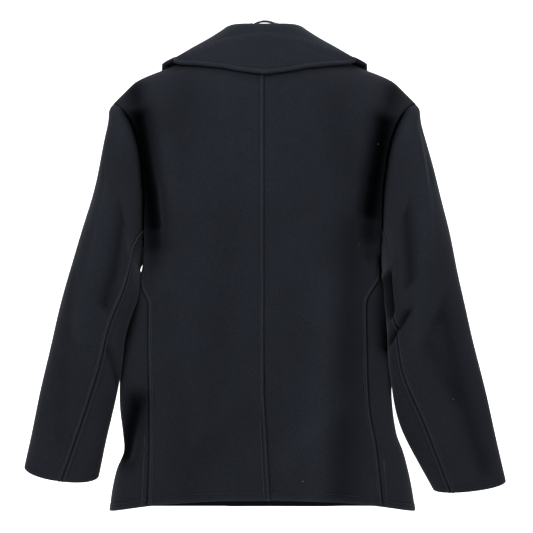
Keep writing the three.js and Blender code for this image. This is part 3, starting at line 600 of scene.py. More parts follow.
def frontPanel(side):
    sign = signOf[side]
    turns = np.concatenate([[0, 1.5, 3.5, 6], np.linspace(9, bodySet["frontTurn"], 40)])
    turnAngle, turnV = armhole(sign, -turns)
    startAngle, startV = armhole(sign, -bodySet["frontTurn"])
    shares = lowerShares[1:]
    rowV = np.concatenate([turnV, mix(startV, 1, shares)])
    edge = np.concatenate([turnAngle, mix(startAngle, sign * bodySet["underAngle"], smooth(shares))])
    start = bodyAngle(sign * frontEdge(side, rowV), rowV, -1) - (360 if sign < 0 else 0)
    angle = columnAngles(start, edge, rowV, 46, seamSet["steps"], seamSet["steps"][:3])
    v = np.broadcast_to(rowV[:, None], angle.shape)
    at, out = bodySpot(angle, v), bodyOut(angle, v)
    if side == "right":
        at = at - out * frontSink(at[..., 0], v)[..., None]
    at[0, :, 1] -= clothSet["seamGap"] / 2
    inside, across = rowDistance(at), rowDistance(at[:, ::-1])[:, ::-1]
    down = columnDistance(at[::-1])[::-1]
    armRows = np.concatenate([np.ones(len(turns)), np.zeros(len(shares))])[:, None]
    relief = hemRelief(down) + welt(across, False) * armRows + 0.5 * welt(inside, True)
    roundness = np.minimum(edgeRound(down, clothSet["wall"]), edgeRound(inside, clothSet["wall"]))
    # Painted shade in the folds, seams and stitch lines, painted highlight on the raised bands and the hem's
    # turned edge
    tone = foldShading(at, -1) + hemShading(down) + weltShading(across, False) * armRows
    tone = tone + 0.6 * weltShading(inside, True)
    first = finishPanel(at, out, relief, roundness, tone)
    # under the arm each column starts on the armhole and runs to the side seam
    lowest = np.linspace(180, 2 * 180 - bodySet["sideTurn"], 12)[1:]
    under = np.concatenate([np.linspace(bodySet["frontTurn"], 180, 26), lowest])
    topAngle, topV = armhole(sign, np.where(under <= 180, -under, 360 - under))
    extra = np.array([10, 8.2, 7.3, 6.6, 5.9, 5.0, 3.8, 2.6, 1.7, 1.0, 0.5, 0.15])
    share = np.concatenate([[0], shares])[:, None]
    columns = np.linspace(0, 1, len(under))[None, :]
    seamAngle, seamV = sideSeamAt(side, share[:, 0])
    hem = mix(sign * bodySet["underAngle"], seamAngle[-1], columns)
    angle = mix(topAngle[None, :], hem, smooth(share))
    v = mix(topV[None, :], 1, share)
    angle[:, 0] = mix(startAngle, sign * bodySet["underAngle"], smooth(share[:, 0]))
    angle[:, -1] = seamAngle
    # close columns beside the side seam, at true distances
    beside = bodySpot(seamAngle + 0.2, seamV) - bodySpot(seamAngle - 0.2, seamV)
    speed = np.linalg.norm(beside, axis=-1) / 0.4
    near = seamAngle[:, None] + sign * extra[None, :] / np.maximum(speed, 1)[:, None]
    pull = smooth(share * 6)
    near = mix(seamAngle[:, None] + (near - seamAngle[:, None]) * 0.6, near, pull)
    angle = np.concatenate([angle[:, :-1], near], axis=1)
    v = np.concatenate([v[:, :-1], np.broadcast_to(seamV[:, None], near.shape)], axis=1)
    at2, out2 = bodySpot(angle, v), bodyOut(angle, v)
    if side == "right":
        at2 = at2 - out2 * frontSink(at2[..., 0], v)[..., None]
    across2 = rowDistance(at2[:, ::-1])[:, ::-1]
    down2 = columnDistance(at2[::-1])[::-1]
    top2 = columnDistance(at2)
    relief2 = hemRelief(down2) + welt(across2, False) + welt(top2, False)
    # Painted shade in the seams and folds, painted highlight on the hem's edge and the ridges
    tone2 = hemShading(down2) + weltShading(across2, False) + weltShading(top2, False)
    # painted shade under the arm, darkest at the armhole
    tone2 = tone2 - 0.5 * np.exp(-(top2 / 40) ** 2)
    tone2 = tone2 + foldShading(at2, 1) * (at2[..., 1] > 0) + foldShading(at2, -1) * (at2[..., 1] < 0)
    roundness2 = edgeRound(down2, clothSet["wall"])
    second = finishPanel(at2, out2, relief2, roundness2, tone2)
    # both sheets share one line of points
    second["at"][:, 0] = first["at"][len(turns) - 1:, -1]
    second["out"][:, 0] = first["out"][len(turns) - 1:, -1]
    hemRow = int(np.argmin(np.abs(down[:, 30] - seamSet["hemStitch"])))
    stitchAlong(first["at"][hemRow, 8:-1], out[hemRow, 8:-1])
    hemRow2 = int(np.argmin(np.abs(down2[:, 10] - seamSet["hemStitch"])))
    stitchAlong(second["at"][hemRow2, :-4], out2[hemRow2, :-4])
    edgeColumn = int(np.argmin(np.abs(inside[80] - seamSet["stitch"])))
    if side == "left":
        stitchAlong(first["at"][40:-8, edgeColumn], out[40:-8, edgeColumn])
    return clothWall("cloth_front_" + side, [first, second], clothSet["wall"], sign > 0)


sleeveSet = {"length": 600, "blend": 0.16, "frontSeam": 132, "frontSeamCuff": 128}


def sleeveFoldAt(t, angle, fold):
    length = sleeveSet["length"]
    return foldAmount(t * length, angle, fold["t0"] * length, fold["a0"], fold["t1"] * length, fold["a1"],
                      fold["wide"])


# A sleeve's outer face: rings between its outer and inner edge lines, drawn from the armhole
def sleeveSpot(side, t, angle):
    sign, rows = signOf[side], sleeveRows[side]
    t, angle = np.broadcast_arrays(np.asarray(t, float), np.asarray(angle, float))
    get = lambda column: along(rows, "t", column, t)
    c, s = np.cos(np.radians(angle)), np.sin(np.radians(angle))
    bend = 2 / clothSet["sleeveRoundness"]
    across = power(c, bend)
    deep = np.where(s >= 0, get("back"), get("front")) * power(s, bend)
    turned = np.where(angle < 0, angle + 360, angle)
    push = 0.3 * (np.sin(t * 17 + angle * 0.05) + np.sin(t * 31 - angle * 0.07 + 2))
    for fold in sleeveFolds[side]:
        push = push - fold["deep"] * sleeveFoldAt(t, turned, fold)
    cx, cz = (get("ox") + get("ix")) / 2, (get("oz") + get("iz")) / 2
    wx, wz = (get("ox") - get("ix")) / 2, (get("oz") - get("iz")) / 2
    ring = vec(sign * (cx + wx * across), get("mid") + deep, cz + wz * across - get("sag") * s)
    ring = ring + unit(vec(c * sign, s, 0)) * push[..., None]
    holeAngle, holeV = armhole(sign, turned - np.where(turned > 180, 360, 0), 0.1)
    hole = bodySpot(holeAngle, np.maximum(holeV, 0))
    hole = hole + unit(vec(sign, 0, -0.4)) * (0.1 - 2.2 * smooth(2 * c - 1))[..., None]
    share = np.sin(np.pi / 2 * np.clip(t / sleeveSet["blend"], 0, 1))
    return mix(hole, ring, share[..., None])


def sleeveOut(side, t, angle):
    low, high = np.maximum(t - 0.004, 0), np.minimum(t + 0.004, 1)
    turned = sleeveSpot(side, t, angle + 0.8) - sleeveSpot(side, t, angle - 0.8)
    down = sleeveSpot(side, high, angle) - sleeveSpot(side, low, angle)
    return unit(np.cross(down, turned)) * signOf[side]


def sleevePiece(side, upper):
    sign = signOf[side]
    end = 1 - np.array([9, 6, 4, 2.5, 1.5, 0.8, 0.35, 0]) / 560
    t = np.concatenate([[0, 0.002, 0.005, 0.009, 0.014], np.linspace(0.02, 0.978, 120), end])
    seam = along(sleeveRows[side], "t", "seam", t)
    front = mix(sleeveSet["frontSeam"], sleeveSet["frontSeamCuff"], t)
    first, last = (-front - 0.15, seam + 0.15) if upper else (seam - 0.15, 360 - front + 0.15)
    beside = lambda a: sleeveSpot(side, t, a + 0.3) - sleeveSpot(side, t, a - 0.3)
    speed = lambda a: np.linalg.norm(beside(a), axis=-1) / 0.6
    steps = np.array(seamSet["steps"][:-2])
    near = first[:, None] + steps / np.maximum(speed(first), 0.5)[:, None]
    far = last[:, None] - steps[::-1] / np.maximum(speed(last), 0.5)[:, None]
    share = np.linspace(0, 1, (64 if upper else 22) + 2)[None, 1:-1]
    angle = np.concatenate([near, mix(near[:, -1:], far[:, :1], share), far], axis=1)
    t = np.broadcast_to(t[:, None], angle.shape)
    at, out = sleeveSpot(side, t, angle), sleeveOut(side, t, angle)
    inside, across = rowDistance(at), rowDistance(at[:, ::-1])[:, ::-1]
    down, top = columnDistance(at[::-1])[::-1], columnDistance(at)
    relief = welt(across, upper) + welt(inside, not upper) * 0.6 + welt(top, False) * 0.5
    # Painted shade in the seams and stitch lines, painted highlight on the raised bands
    tone = weltShading(across, upper) + weltShading(inside, not upper) * 0.7 + hemShading(down) * 0.5
    # painted shade on the sleeve's back beside the armhole, where it meets the body
    back = smooth((np.sin(np.radians(angle)) - 0.35) / 0.4)
    back = np.clip(back + smooth((-np.cos(np.radians(angle)) + 0.1) / 0.6), 0, 1)
    tone = tone - paintedShadeSet["sleeve"] * back * np.exp(-(top / paintedShadeSet["sleeveWide"]) ** 2)
    tone = tone + weltShading(top, False) * 0.6
    # painted shade in the sleeve's folds, painted highlight on its ridges
    for fold in sleeveFolds[side]:
        amount = paintedShadeSet["share"] * np.clip(fold["deep"] / paintedShadeSet["deep"], -0.1, 1)
        tone = tone - amount * sleeveFoldAt(t, angle % 360, fold)
    sheet = finishPanel(at, out, relief, edgeRound(down, clothSet["wall"]), tone)
    if upper:
        column = int(np.argmin(np.abs(across[70] - seamSet["stitch"])))
        stitchAlong(sheet["at"][14:-2, column], out[14:-2, column])
    name = ("cloth_topsleeve_" if upper else "cloth_undersleeve_") + side
    return clothWall(name, [sheet], clothSet["wall"], sign > 0)


# The neck edge: the back neck curve, then down the front edge to the collar's end
def neckSpot(s):
    side, k = np.where(s < 0, -1, 1), np.abs(s)
    share = np.clip(k / 0.5, 0, 1)
    neckAngle = bodyAngle(bodySet["neckSide"] * share, 0.02, 1)
    back = (side * neckAngle, bodySet["neckDrop"] * (1 - share * share))
    v = mix(0, bodySet["collarEnd"], np.clip((k - 0.5) / 0.5, 0, 1))
    front = (side * bodyAngle(frontEdge("left", v), v, -1), v)
    angle, level = np.where(k <= 0.5, back[0], front[0]), np.where(k <= 0.5, back[1], front[1])
    return bodySpot(angle, level), bodyOut(angle, np.maximum(level, 0))


# Points kept at least this far outside the body
def aboveBody(point, lift):
    x, y, z = point[..., 0], point[..., 1], point[..., 2]
    face = np.where(y >= 0, 1, -1)
    level = bodyLevel(x, z, face)
    body, out = bodyAt(x, z, face, 0)
    height = np.sum((point - body) * out, axis=-1)
    pushed = point + out * np.maximum(lift - height, 0)[..., None]
    raised = vec(x, y, np.maximum(z, ridge(x) + lift))
    return np.where((level <= 0.0008)[..., None], raised, pushed)


# A centripetal spline through six points, read at w from 0 to 1
def splineAt(points, w):
    n = len(points)
    ends = [2 * points[0] - points[1]] + points + [2 * points[-1] - points[-2]]
    place = np.clip(w, 0, 1) * (n - 1)
    i = np.clip(np.floor(place).astype(int), 0, n - 2)
    t = (place - i)[..., None]
    stack = np.stack(ends)
    shape = (1,) + stack.shape[1:]
    pick = lambda k: np.take_along_axis(stack, np.broadcast_to((i + k)[None, ..., None], shape), axis=0)[0]
    p0, p1, p2, p3 = pick(0), pick(1), pick(2), pick(3)
    step = lambda a, b: np.maximum(np.linalg.norm(b - a, axis=-1, keepdims=True) ** 0.5, 1e-4)
    d0, d1, d2 = step(p0, p1), step(p1, p2), step(p2, p3)
    m1 = ((p1 - p0) / d0 - (p2 - p0) / (d0 + d1) + (p2 - p1) / d1) * d1
    m2 = ((p2 - p1) / d1 - (p3 - p1) / (d1 + d2) + (p3 - p2) / d2) * d1
    c2, c3 = -3 * p1 + 3 * p2 - 2 * m1 - m2, 2 * p1 - 2 * p2 + m1 + m2
    return p1 + t * (m1 + t * (c2 + t * c3))


# The collar's visible face: s round the neck, w from the neck seam over the roll to the fall's edge
def collarSpot(s, w):
    s, w = np.broadcast_arrays(np.asarray(s, float), np.asarray(w, float))
    side, k = np.where(s < 0, -1.0, 1.0), np.abs(s)
    get = lambda column: along(collarRows, "s", column, k)
    neck, neckOut = neckSpot(s)
    roll = vec(side * get("rx"), get("ry"), get("rz"))
    ev = get("ev")
    face, level = np.where(ev >= 0, 1, -1), np.maximum(np.abs(ev), 0.0008)
    edgeAngle = side * bodyAngle(get("ex"), level, face)
    edgeOut = bodyOut(edgeAngle, level)
    edge = bodySpot(edgeAngle, level) + edgeOut * get("lift")[..., None]
    away = unit((edge - roll) * np.array([1, 1, 0]))
    seam = neckSpot(np.minimum(s + 0.02, 1))[0] - neckSpot(np.maximum(s - 0.02, -1))[0]
    inward = unit(np.cross(seam, neckOut))
    foot = neck + inward * 4 * clothSet["seamGap"] - away * clothSet["collarLeaf"]
    standing = mix(foot, roll, 0.55) - away * 2
    turn = roll + away * 12 + np.array([0, 0, -7])
    middle = mix(turn, edge, 0.5) + edgeOut * 3
    point = splineAt([foot, standing, roll, turn, middle, edge], w)
    return np.where((w > 0.45)[..., None], aboveBody(point, get("lift")), point)


collarSet = {"edgeSteps": [0, 0.25, 0.6, 1.1, 1.8, 2.8, 4.0, 5.0, 5.8, 6.5, 7.2, 8.2, 10, 13], "stitch": 6.5}


def collarLeaf():
    ends = np.array([0.98, 0.988, 0.994, 0.998, 1])
    s = np.concatenate([-ends[::-1], np.linspace(-0.97, 0.97, 230), ends])
    fall = np.linalg.norm(collarSpot(s, 1.0) - collarSpot(s, 0.99), axis=-1) / 0.01
    near = 1 - np.array(collarSet["edgeSteps"])[::-1] / np.maximum(fall, 10)[:, None]
    share = np.linspace(0, 1, 44)[None, :-1]
    w = np.concatenate([near[:, :1] * share, near], axis=1).T
    s = np.broadcast_to(s[None, :], w.shape)
    at = collarSpot(s, w)
    turned = collarSpot(np.minimum(s + 0.004, 1), w) - collarSpot(np.maximum(s - 0.004, -1), w)
    over = collarSpot(s, np.minimum(w + 0.004, 1)) - collarSpot(s, np.maximum(w - 0.004, 0))
    out = unit(np.cross(turned, over))
    edge = columnDistance(at[::-1])[::-1]
    ends = np.minimum(rowDistance(at), rowDistance(at[:, ::-1])[:, ::-1])
    rim = np.minimum(edge, ends)
    puff = 0.9 * smooth(rim / 1.5) * (1 - smooth((rim - 4.6) / 2)) - 0.6 * np.exp(-((rim - 6.5) / 0.9) ** 2)
    fall = smooth((w - 0.5) / 0.1)
    relief = puff * fall
    # Painted highlight on the fall's raised edge, painted shade in its stitch groove, and the whole collar
    # painted a little lighter, as lit from above
    tone = (0.3 * np.exp(-((rim - 3) / 2) ** 2) - 0.35 * np.exp(-((rim - 6.5) / 1.3) ** 2)) * fall + 0.12
    sheet = finishPanel(at, out, relief, edgeRound(rim, clothSet["collarLeaf"]), tone)
    row = int(np.argmin(np.abs(edge[:, 120] - collarSet["stitch"])))
    stitchAlong(sheet["at"][row, 8:-8], out[row, 8:-8])
    return clothWall("cloth_collar", [sheet], clothSet["collarLeaf"], True)


def rollAt(side, z):
    return frontEdge(side, bodyLevel(60, z, -1))


def lapel(side):
    sign = signOf[side]
    last = 8 if side == "left" else 5
    ends = [last - 0.15, last - 0.05, last]
    k = np.concatenate([[0, 0.02, 0.05, 0.1, 0.18, 0.28], np.linspace(0.4, last - 0.3, 60), ends])[:, None]
    get = lambda column: along(lapelRows, "k", column, k)
    inner = rollAt(side, get("inner")) + 1
    if side == "right":
        inner = np.maximum(inner, 12 - rollAt("left", get("inner")))
    close = [0.85, 0.89, 0.92, 0.945, 0.965, 0.98, 0.99, 0.996, 1]
    share = np.concatenate([np.linspace(0, 0.8, 30), close])[None, :]
    x, z = sign * mix(inner, get("x"), share), mix(get("inner"), get("z"), share)
    at, out = bodyAt(x, z, -1, clothSet["lieGap"] + clothSet["wall"])
    edge = np.minimum(rowDistance(at[:, ::-1])[:, ::-1], columnDistance(at))
    fromRoll = rowDistance(at)
    relief = 0.8 * smooth(edge / 1.5) * (1 - smooth((edge - 4.6) / 2))
    relief = relief - 0.5 * np.exp(-((edge - 6.5) / 0.9) ** 2)
    relief = relief + 1.6 * np.exp(-((fromRoll - 5) / 6) ** 2)
    roundness = edgeRound(np.minimum(edge, fromRoll + 0.2), clothSet["wall"])
    sheet = finishPanel(at, out, relief, roundness)
    column = int(np.argmin(np.abs(edge[30] - 6.5)))
    stitchAlong(sheet["at"][10:, column], out[10:, column])
    return clothWall("cloth_lapel_" + side, [sheet], clothSet["wall"], sign > 0)


pocketSet = {"top": (142, -440), "end": (160, -600), "wide": 28}


def pocketWelt(side):
    sign = signOf[side]
    close = np.array([0, 0.004, 0.01, 0.02, 0.035, 0.05])
    k = np.concatenate([close, np.linspace(0.06, 0.94, 50), 1 - close[::-1]])[:, None]
    a = np.concatenate([close * 3, np.linspace(0.18, 0.82, 12), 1 - close[::-1] * 3])[None, :]
    x = mix(pocketSet["top"][0], pocketSet["end"][0], k) + pocketSet["wide"] * (a - 0.5)
    z = mix(pocketSet["top"][1], pocketSet["end"][1], k) + 0 * a
    at, out = bodyAt(sign * x, z, -1, clothSet["lieGap"] + clothSet["wall"])
    rim = np.minimum(np.minimum(rowDistance(at), rowDistance(at[:, ::-1])[:, ::-1]),
                     np.minimum(columnDistance(at), columnDistance(at[::-1])[::-1]))
    relief = 0.7 * smooth(rim / 1.5) * (1 - smooth((rim - 3.4) / 1.4)) - 0.3 * np.exp(-((rim - 5) / 0.8) ** 2)
    sheet = finishPanel(at, out, relief, edgeRound(rim, clothSet["wall"]))
    return clothWall("cloth_pocket_welt_" + side, [sheet], clothSet["wall"], sign > 0)


buttonSet = {"radius": 15, "thick": 4.5, "rows": [-322, -434, -546], "columns": [62, -50],
             "hole": 1.3, "holeOut": 3.1}


# A four-hole button: a turned profile on a polar grid, with the holes pressed into its well
def button(name, x, z):
    r, h = buttonSet["radius"], buttonSet["thick"]
    profile = np.array([
        [r - 2, 0], [r - 0.7, 0.25], [r - 0.15, 0.9], [r, 1.6], [r, h - 1.3], [r - 0.3, h - 0.5],
        [r - 1, h], [r - 2.2, h + 0.1], [r - 3.4, h - 0.1], [r - 4.4, h - 0.8], [r - 5.2, h - 1.2]])
    inner = np.linspace(r - 6, 0.05, 22)
    radius = np.concatenate([[0.05], profile[:, 0], inner])
    height = np.concatenate([[0], profile[:, 1], np.full(len(inner), h - 1.25)])
    turn = 2 * np.pi * np.arange(64) / 64
    px, py = radius[:, None] * np.cos(turn), radius[:, None] * np.sin(turn)
    pz = np.broadcast_to(height[:, None], px.shape).copy()
    for cx, cy in [(1, 1), (1, -1), (-1, 1), (-1, -1)]:
        off = np.hypot(px - cx * buttonSet["holeOut"] * 0.8, py - cy * buttonSet["holeOut"] * 0.8)
        pz[12:] -= (2.2 * (1 - smooth((off - buttonSet["hole"] * 0.75) / (buttonSet["hole"] * 0.5))))[12:]
    seat, out = bodyAt(np.array([x]), np.array([z]), -1, 0.5)
    up = out[0]
    side = unit(np.cross(up, np.array([0, 0, 1.0])))
    rise = np.cross(side, up)
    points = seat[0] + px[..., None] * side + py[..., None] * rise + pz[..., None] * up
    rows, count = px.shape
    i, j = np.meshgrid(np.arange(rows - 1), np.arange(count), indexing="ij")
    a, b = i * count + j, i * count + (j + 1) % count
    faces = np.stack([a, a + count, b + count, b], axis=-1).reshape(-1, 4).tolist()
    faces += [list(range(count)), [(rows - 1) * count + k for k in range(count)][::-1]]
    piece = makeMesh("turned_" + name, points.reshape(-1, 3), faces)
    threads = []
    for cy in (1, -1):
        for lift, shift in ((0.3, -0.35), (0.45, 0.35)):
            span = np.linspace(-1, 1, 9) * buttonSet["holeOut"] * 0.8
            bow = np.linspace(-1, 1, 9)
            arch = h - 1.25 + lift + 0.5 * (1 - bow ** 2) - 1.6 * np.abs(bow) ** 8
            line = seat[0] + span[:, None] * side + (cy * 2.5 + shift) * rise + arch[:, None] * up
            threads.append((line, np.broadcast_to(up, line.shape)))
    return piece, threads


# Tubes: a round section carried along lines of points
def tubes(name, lines, radius, sides=8):
    points, faces, start = [], [], 0
    turn = 2 * np.pi * np.arange(sides) / sides
    for line, normal in lines:
        forward = unit(np.gradient(line, axis=0))
        side = unit(np.cross(normal, forward))
        lift = np.cross(forward, side)
        spokes = side[:, None] * np.cos(turn)[:, None] + lift[:, None] * np.sin(turn)[:, None]
        ring = line[:, None] + radius * spokes
        n = len(line)
        i, j = np.meshgrid(np.arange(n - 1), np.arange(sides), indexing="ij")
        a, b = start + i * sides + j, start + i * sides + (j + 1) % sides
        faces += np.stack([a, b, b + sides, a + sides], axis=-1).reshape(-1, 4).tolist()
        faces.append([start + k for k in range(sides)][::-1])
        faces.append([start + (n - 1) * sides + k for k in range(sides)])
        points.append(ring.reshape(-1, 3))
        start += n * sides
    return makeMesh(name, np.concatenate(points), faces)


hangerSet = {"reach": 203, "deep": 15, "tall": 24, "middle": -57, "flatFrom": 10, "flatWidth": 70,
             "wire": 3, "hookWide": 31, "hookTall": 25}


# The hanger's bar: elliptical sections along the shoulder line, drawn in at its ends
def hangerBar():
    x = hangerSet["reach"] * np.sin(np.linspace(-np.pi / 2, np.pi / 2, 121))[:, None]
    a = (2 * np.pi * np.arange(32) / 32)[None, :]
    rest = ridge(x) - clothSet["wall"] - 2 * clothSet["seamGap"]
    top = mix(hangerSet["middle"], rest, smooth((np.abs(x) - hangerSet["flatFrom"]) / hangerSet["flatWidth"]))
    end = np.sqrt(np.maximum(0.003, 1 - (np.abs(x) / hangerSet["reach"]) ** 14))
    y = hangerSet["deep"] / 2 * np.cos(a) * end
    z = top - hangerSet["tall"] / 2 + hangerSet["tall"] / 2 * np.sin(a) * end - (1 - end) * 2
    points = vec(x + 0 * a, y, z)
    rows, count = points.shape[:2]
    i, j = np.meshgrid(np.arange(rows - 1), np.arange(count), indexing="ij")
    p, q = i * count + j, i * count + (j + 1) % count
    faces = np.stack([p, q, q + count, p + count], axis=-1).reshape(-1, 4).tolist()
    faces += [list(range(count))[::-1], [(rows - 1) * count + k for k in range(count)]]
    return makeMesh("turned_hanger_bar", points.reshape(-1, 3), faces)


# The hook's wire: a stem that bends out into an open loop, with a rounded tip
def hookWire():
    wire, wide, tall = hangerSet["wire"], hangerSet["hookWide"], hangerSet["hookTall"]
    turn = np.radians(np.arange(-50, 201, 25))
    loop = vec(wide * np.cos(turn), 0, wire - tall + tall * np.sin(turn))
    stem = np.array([[0, 0, hangerSet["middle"] + clothSet["seamGap"]], [0, 0, wire - 2 * tall - 4]])
    knots = [np.array(p)[None] for p in np.concatenate([stem, loop])]
    line = np.concatenate([splineAt(knots, np.array([w])) for w in np.linspace(0, 1, 150)])
    return tubes("polished_hook", [(line, np.broadcast_to(np.array([0, 1.0, 0]), line.shape))], wire, 24)


# Shader maths: a wrapped socket that adds Math nodes as it is used in an expression
class Signal:
    def __init__(self, maker, socket):
        self.maker, self.socket = maker, socket

    def math(self, operation, *others):
        values = [self] + list(others)
        node = self.maker.node("ShaderNodeMath", {"operation": operation}, dict(enumerate(values)))
        return Signal(self.maker, node.outputs[0])

    def __add__(self, other):
        return self.math("ADD", other)

    def __mul__(self, other):
        return self.math("MULTIPLY", other)

    def __sub__(self, other):
        return self.math("SUBTRACT", other)

    def __rsub__(self, other):
        node = self.maker.node("ShaderNodeMath", {"operation": "SUBTRACT"}, {0: other, 1: self})
        return Signal(self.maker, node.outputs[0])

    __radd__ = __add__
    __rmul__ = __mul__

    def over(self, low, high):
        node = self.maker.node("ShaderNodeMapRange", {"clamp": True, "interpolation_type": "SMOOTHSTEP"},
                               {"Value": self, "From Min": low, "From Max": high})
        return Signal(self.maker, node.outputs[0])


class Maker:
    def __init__(self, name):
        self.material = bpy.data.materials.new(name)
        self.material.use_nodes = True
        self.tree = self.material.node_tree
        self.shader = self.tree.nodes["Principled BSDF"]
        self.place = self.node("ShaderNodeTexCoord", {}, {}).outputs["Object"]

    # Any node: settings first, then its sockets' values or links
    def node(self, kind, settings, values):
        made = self.tree.nodes.new(kind)
        for key, value in settings.items():
            setattr(made, key, value)
        self.fill(made, values)
        return made

    def fill(self, made, values):
        for key, value in values.items():
            if isinstance(value, Signal):
                self.tree.links.new(value.socket, made.inputs[key])
            elif isinstance(value, bpy.types.NodeSocket):
                self.tree.links.new(value, made.inputs[key])
            else:
                made.inputs[key].default_value = value

    def noise(self, scale, detail=2, roughness=0.5, place=None):
        values = {"Vector": place or self.place, "Scale": scale, "Detail": detail, "Roughness": roughness}
        return Signal(self, self.node("ShaderNodeTexNoise", {}, values).outputs[0])

    def blend(self, share, first, second):
        node = self.node("ShaderNodeMix", {"data_type": "RGBA"}, {0: share, 6: first, 7: second})
        return node.outputs[2]

    def bump(self, height, strength, distance, below=None):
        values = {"Height": height, "Strength": strength, "Distance": distance}
        if below:
            values["Normal"] = below
        return self.node("ShaderNodeBump", {}, values).outputs[0]

    def finish(self, values):
        self.fill(self.shader, values)
        return self.material


woolSet = {"dark": (0.0029, 0.0038, 0.006, 1), "light": (0.0105, 0.0128, 0.0188, 1),
           "lint": (0.28, 0.29, 0.31, 1), "sheen": 0.08, "gloss": 0.13,
           "fibre": 950, "nap": 420, "cloud": 11, "lintCell": 34, "lintSize": 0.03, "lintShare": 0.9}


def woolMaterial():
    m = Maker("melton_wool")
    fibre = m.noise(woolSet["fibre"], 3, 0.62)
    nap = m.noise(woolSet["nap"], 3, 0.6)
    cloud = m.noise(woolSet["cloud"], 3, 0.55)
    shade = fibre * 0.45 + nap * 0.5 + cloud * 0.14 - 0.05
    color = m.blend(shade.over(0.3, 0.72), woolSet["dark"], woolSet["light"])
    cells = m.node("ShaderNodeTexVoronoi", {"feature": "F1"},
                   {"Vector": m.place, "Scale": woolSet["lintCell"]})
    near = 1 - Signal(m, cells.outputs["Distance"]).over(woolSet["lintSize"] * 0.5, woolSet["lintSize"])
    chosen = m.node("ShaderNodeSeparateColor", {}, {0: cells.outputs["Color"]})
    lint = near * Signal(m, chosen.outputs[0]).over(woolSet["lintShare"], woolSet["lintShare"] + 0.02)
    # The tone attribute is painted shade and highlight: it scales the colour, the sheen and the gloss
    tone = Signal(m, m.node("ShaderNodeAttribute", {"attribute_name": "tone"}, {}).outputs["Fac"])
    gray = m.node("ShaderNodeCombineColor", {}, {0: tone + 1, 1: tone + 1, 2: tone + 1}).outputs[0]
    lit = m.node("ShaderNodeVectorMath", {"operation": "MULTIPLY"}, {0: color, 1: gray}).outputs[0]
    color = m.blend(lint * 0.75, lit, woolSet["lint"])
    coarse = m.bump(nap, 0.35, 0.0009)
    fine = m.bump(fibre, 0.55, 0.0006, coarse)
    rough = fibre * 0.12 + 0.84
    return m.finish({"Base Color": color, "Roughness": rough, "Normal": fine,
                     "Sheen Weight": (tone + 1) * woolSet["sheen"], "Sheen Roughness": 0.5,
                     "Sheen Tint": (0.62, 0.68, 0.8, 1),
                     "Specular IOR Level": (tone + 1) * woolSet["gloss"]})


def threadMaterial():
    m = Maker("navy_thread")
    grain = m.noise(1600, 2)
    color = m.blend(grain, (0.010, 0.012, 0.018, 1), (0.026, 0.03, 0.042, 1))
    return m.finish({"Base Color": color, "Roughness": 0.6,
                     "Normal": m.bump(grain, 0.3, 0.0003), "Sheen Weight": 0.1})


def buttonMaterial():
    m = Maker("button_plastic")
    swirl = m.noise(120, 4, 0.6)
    color = m.blend(swirl.over(0.35, 0.7), (0.008, 0.009, 0.012, 1), (0.018, 0.02, 0.026, 1))
    rough = m.noise(700, 2) * 0.16 + 0.24
    return m.finish({"Base Color": color, "Roughness": rough,
                     "Normal": m.bump(swirl, 0.06, 0.0004), "IOR": 1.5})


def woodMaterial():
    m = Maker("hanger_wood")
    stretched = m.node("ShaderNodeMapping", {}, {"Vector": m.place, "Scale": (0.12, 1.0, 1.0)}).outputs[0]
    grain = m.noise(330, 5, 0.6, stretched)
    pores = m.noise(1500, 2, 0.5, stretched)
    color = m.blend(grain.over(0.36, 0.66), (0.30, 0.155, 0.07, 1), (0.13, 0.06, 0.026, 1))
    rough = pores * 0.2 + 0.3
    return m.finish({"Base Color": color, "Roughness": rough,
                     "Normal": m.bump(pores, 0.12, 0.0003), "Coat Weight": 0.4})


def chromeMaterial():
    m = Maker("hook_chrome")
    rub = m.noise(60, 3)
    fine = m.noise(2200, 2)
    rough = rub * 0.12 + fine * 0.08 + 0.06
    color = m.blend(rub, (0.52, 0.53, 0.55, 1), (0.66, 0.67, 0.69, 1))
    return m.finish({"Base Color": color, "Metallic": 1.0, "Roughness": rough,
                     "Normal": m.bump(fine, 0.04, 0.0002)})


def dress(piece, material, slot, *nodes):
    piece.data.materials.clear()
    piece.data.materials.append(material)
    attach(piece, "root")
    if nodes:
        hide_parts(*nodes)
    return piece


wool = woolMaterial()


def declareCut(piece, name):
    print(piece.name, "half surface", round(sum(p.area for p in piece.data.polygons) / 2, 4))


for side in ("left", "right"):
    made = [("back", backPanel(side)), ("front", frontPanel(side)), ("topsleeve", sleevePiece(side, True)),
            ("undersleeve", sleevePiece(side, False)), ("lapel", lapel(side)),
            ("pocket_welt", pocketWelt(side))]
    for name, piece in made:
        dress(piece, wool, "wool", name + "_" + side)
        if name in ("lapel", "pocket_welt"):
            declareCut(piece, name + "_" + side)
        else:
            declareCut(piece, name + "_" + side)
    print("cloth made:", side)

collarPiece = dress(collarLeaf(), wool, "wool", "collar")
print("collar made")

dress(threadMesh(), threadMaterial(), "wool")
print("stitches made")

plastic = buttonMaterial()
buttonThreads = []
for row, z in enumerate(buttonSet["rows"]):
    for column, x in enumerate(buttonSet["columns"]):
        name = "button_" + str(2 * row + column + 1)
        piece, threads = button(name, x, z)
        dress(piece, plastic, "button_plastic", name)
        buttonThreads += threads
dress(tubes("button_threads", buttonThreads, 0.3), threadMaterial(), "wool")
dress(hangerBar(), woodMaterial(), "hanger_wood", "hanger_bar")
dress(hookWire(), chromeMaterial(), "hook_chrome", "hanger_hook")
print("buttons and hanger made")

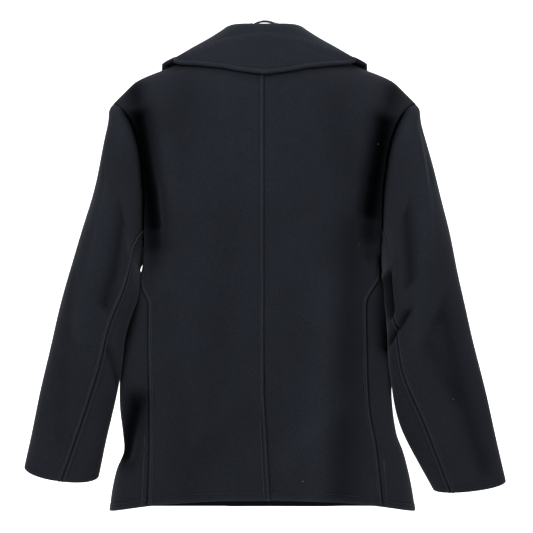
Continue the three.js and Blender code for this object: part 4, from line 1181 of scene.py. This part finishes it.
# Stage: a white floor below and a white wall on the far side
stageSet = {"floor": -3200, "wall": -6500, "reach": 9500, "glow": 1.0, "floorGlow": 0.6, "world": 0.12}


def flatSheet(name, corners, strength):
    mesh = bpy.data.meshes.new(name)
    mesh.from_pydata([tuple(c * mm for c in corner) for corner in corners], [], [(0, 1, 2, 3)])
    piece = bpy.data.objects.new(name, mesh)
    bpy.context.scene.collection.objects.link(piece)
    m = Maker(name)
    tone = m.noise(3, 2)
    color = m.blend(tone, (0.86, 0.86, 0.86, 1), (0.9, 0.9, 0.9, 1))
    mesh.materials.append(m.finish({"Base Color": color, "Roughness": 0.95, "Emission Color": (1, 1, 1, 1),
                                    "Emission Strength": strength}))


def makeStage():
    far, reach, low = stageSet["wall"], stageSet["reach"], stageSet["floor"]
    wall = [(-reach, far, low), (reach, far, low), (reach, far, reach), (-reach, far, reach)]
    ground = [(-reach, far, low), (reach, far, low), (reach, reach, low), (-reach, reach, low)]
    flatSheet("backdrop", wall[::-1], stageSet["glow"])
    flatSheet("floor", ground, stageSet["floorGlow"])


makeStage()

lightSet = [
    {"name": "key", "at": (900, 2300, 900), "aim": (0, 0, -380), "size": 1300, "power": 62},
    {"name": "fill", "at": (-1500, 2200, 100), "aim": (0, 0, -380), "size": 1500, "power": 24},
    {"name": "top", "at": (0, 700, 1700), "aim": (0, 0, -300), "size": 1600, "power": 26},
]


def makeLights():
    for entry in lightSet:
        data = bpy.data.lights.new(entry["name"], "AREA")
        data.size = entry["size"] * mm
        data.energy = entry["power"]
        light = bpy.data.objects.new(entry["name"], data)
        bpy.context.scene.collection.objects.link(light)
        light.location = Vector(entry["at"]) * mm
        toward = Vector(entry["aim"]) - Vector(entry["at"])
        light.rotation_euler = toward.to_track_quat("-Z", "Y").to_euler()
    world = bpy.data.worlds.new("studio")
    world.use_nodes = True
    world.node_tree.nodes["Background"].inputs[0].default_value = (1, 1, 1, 1)
    world.node_tree.nodes["Background"].inputs[1].default_value = stageSet["world"]
    bpy.context.scene.world = world
    bpy.context.scene.view_settings.view_transform = "Standard"


makeLights()
print("stage and lights made")
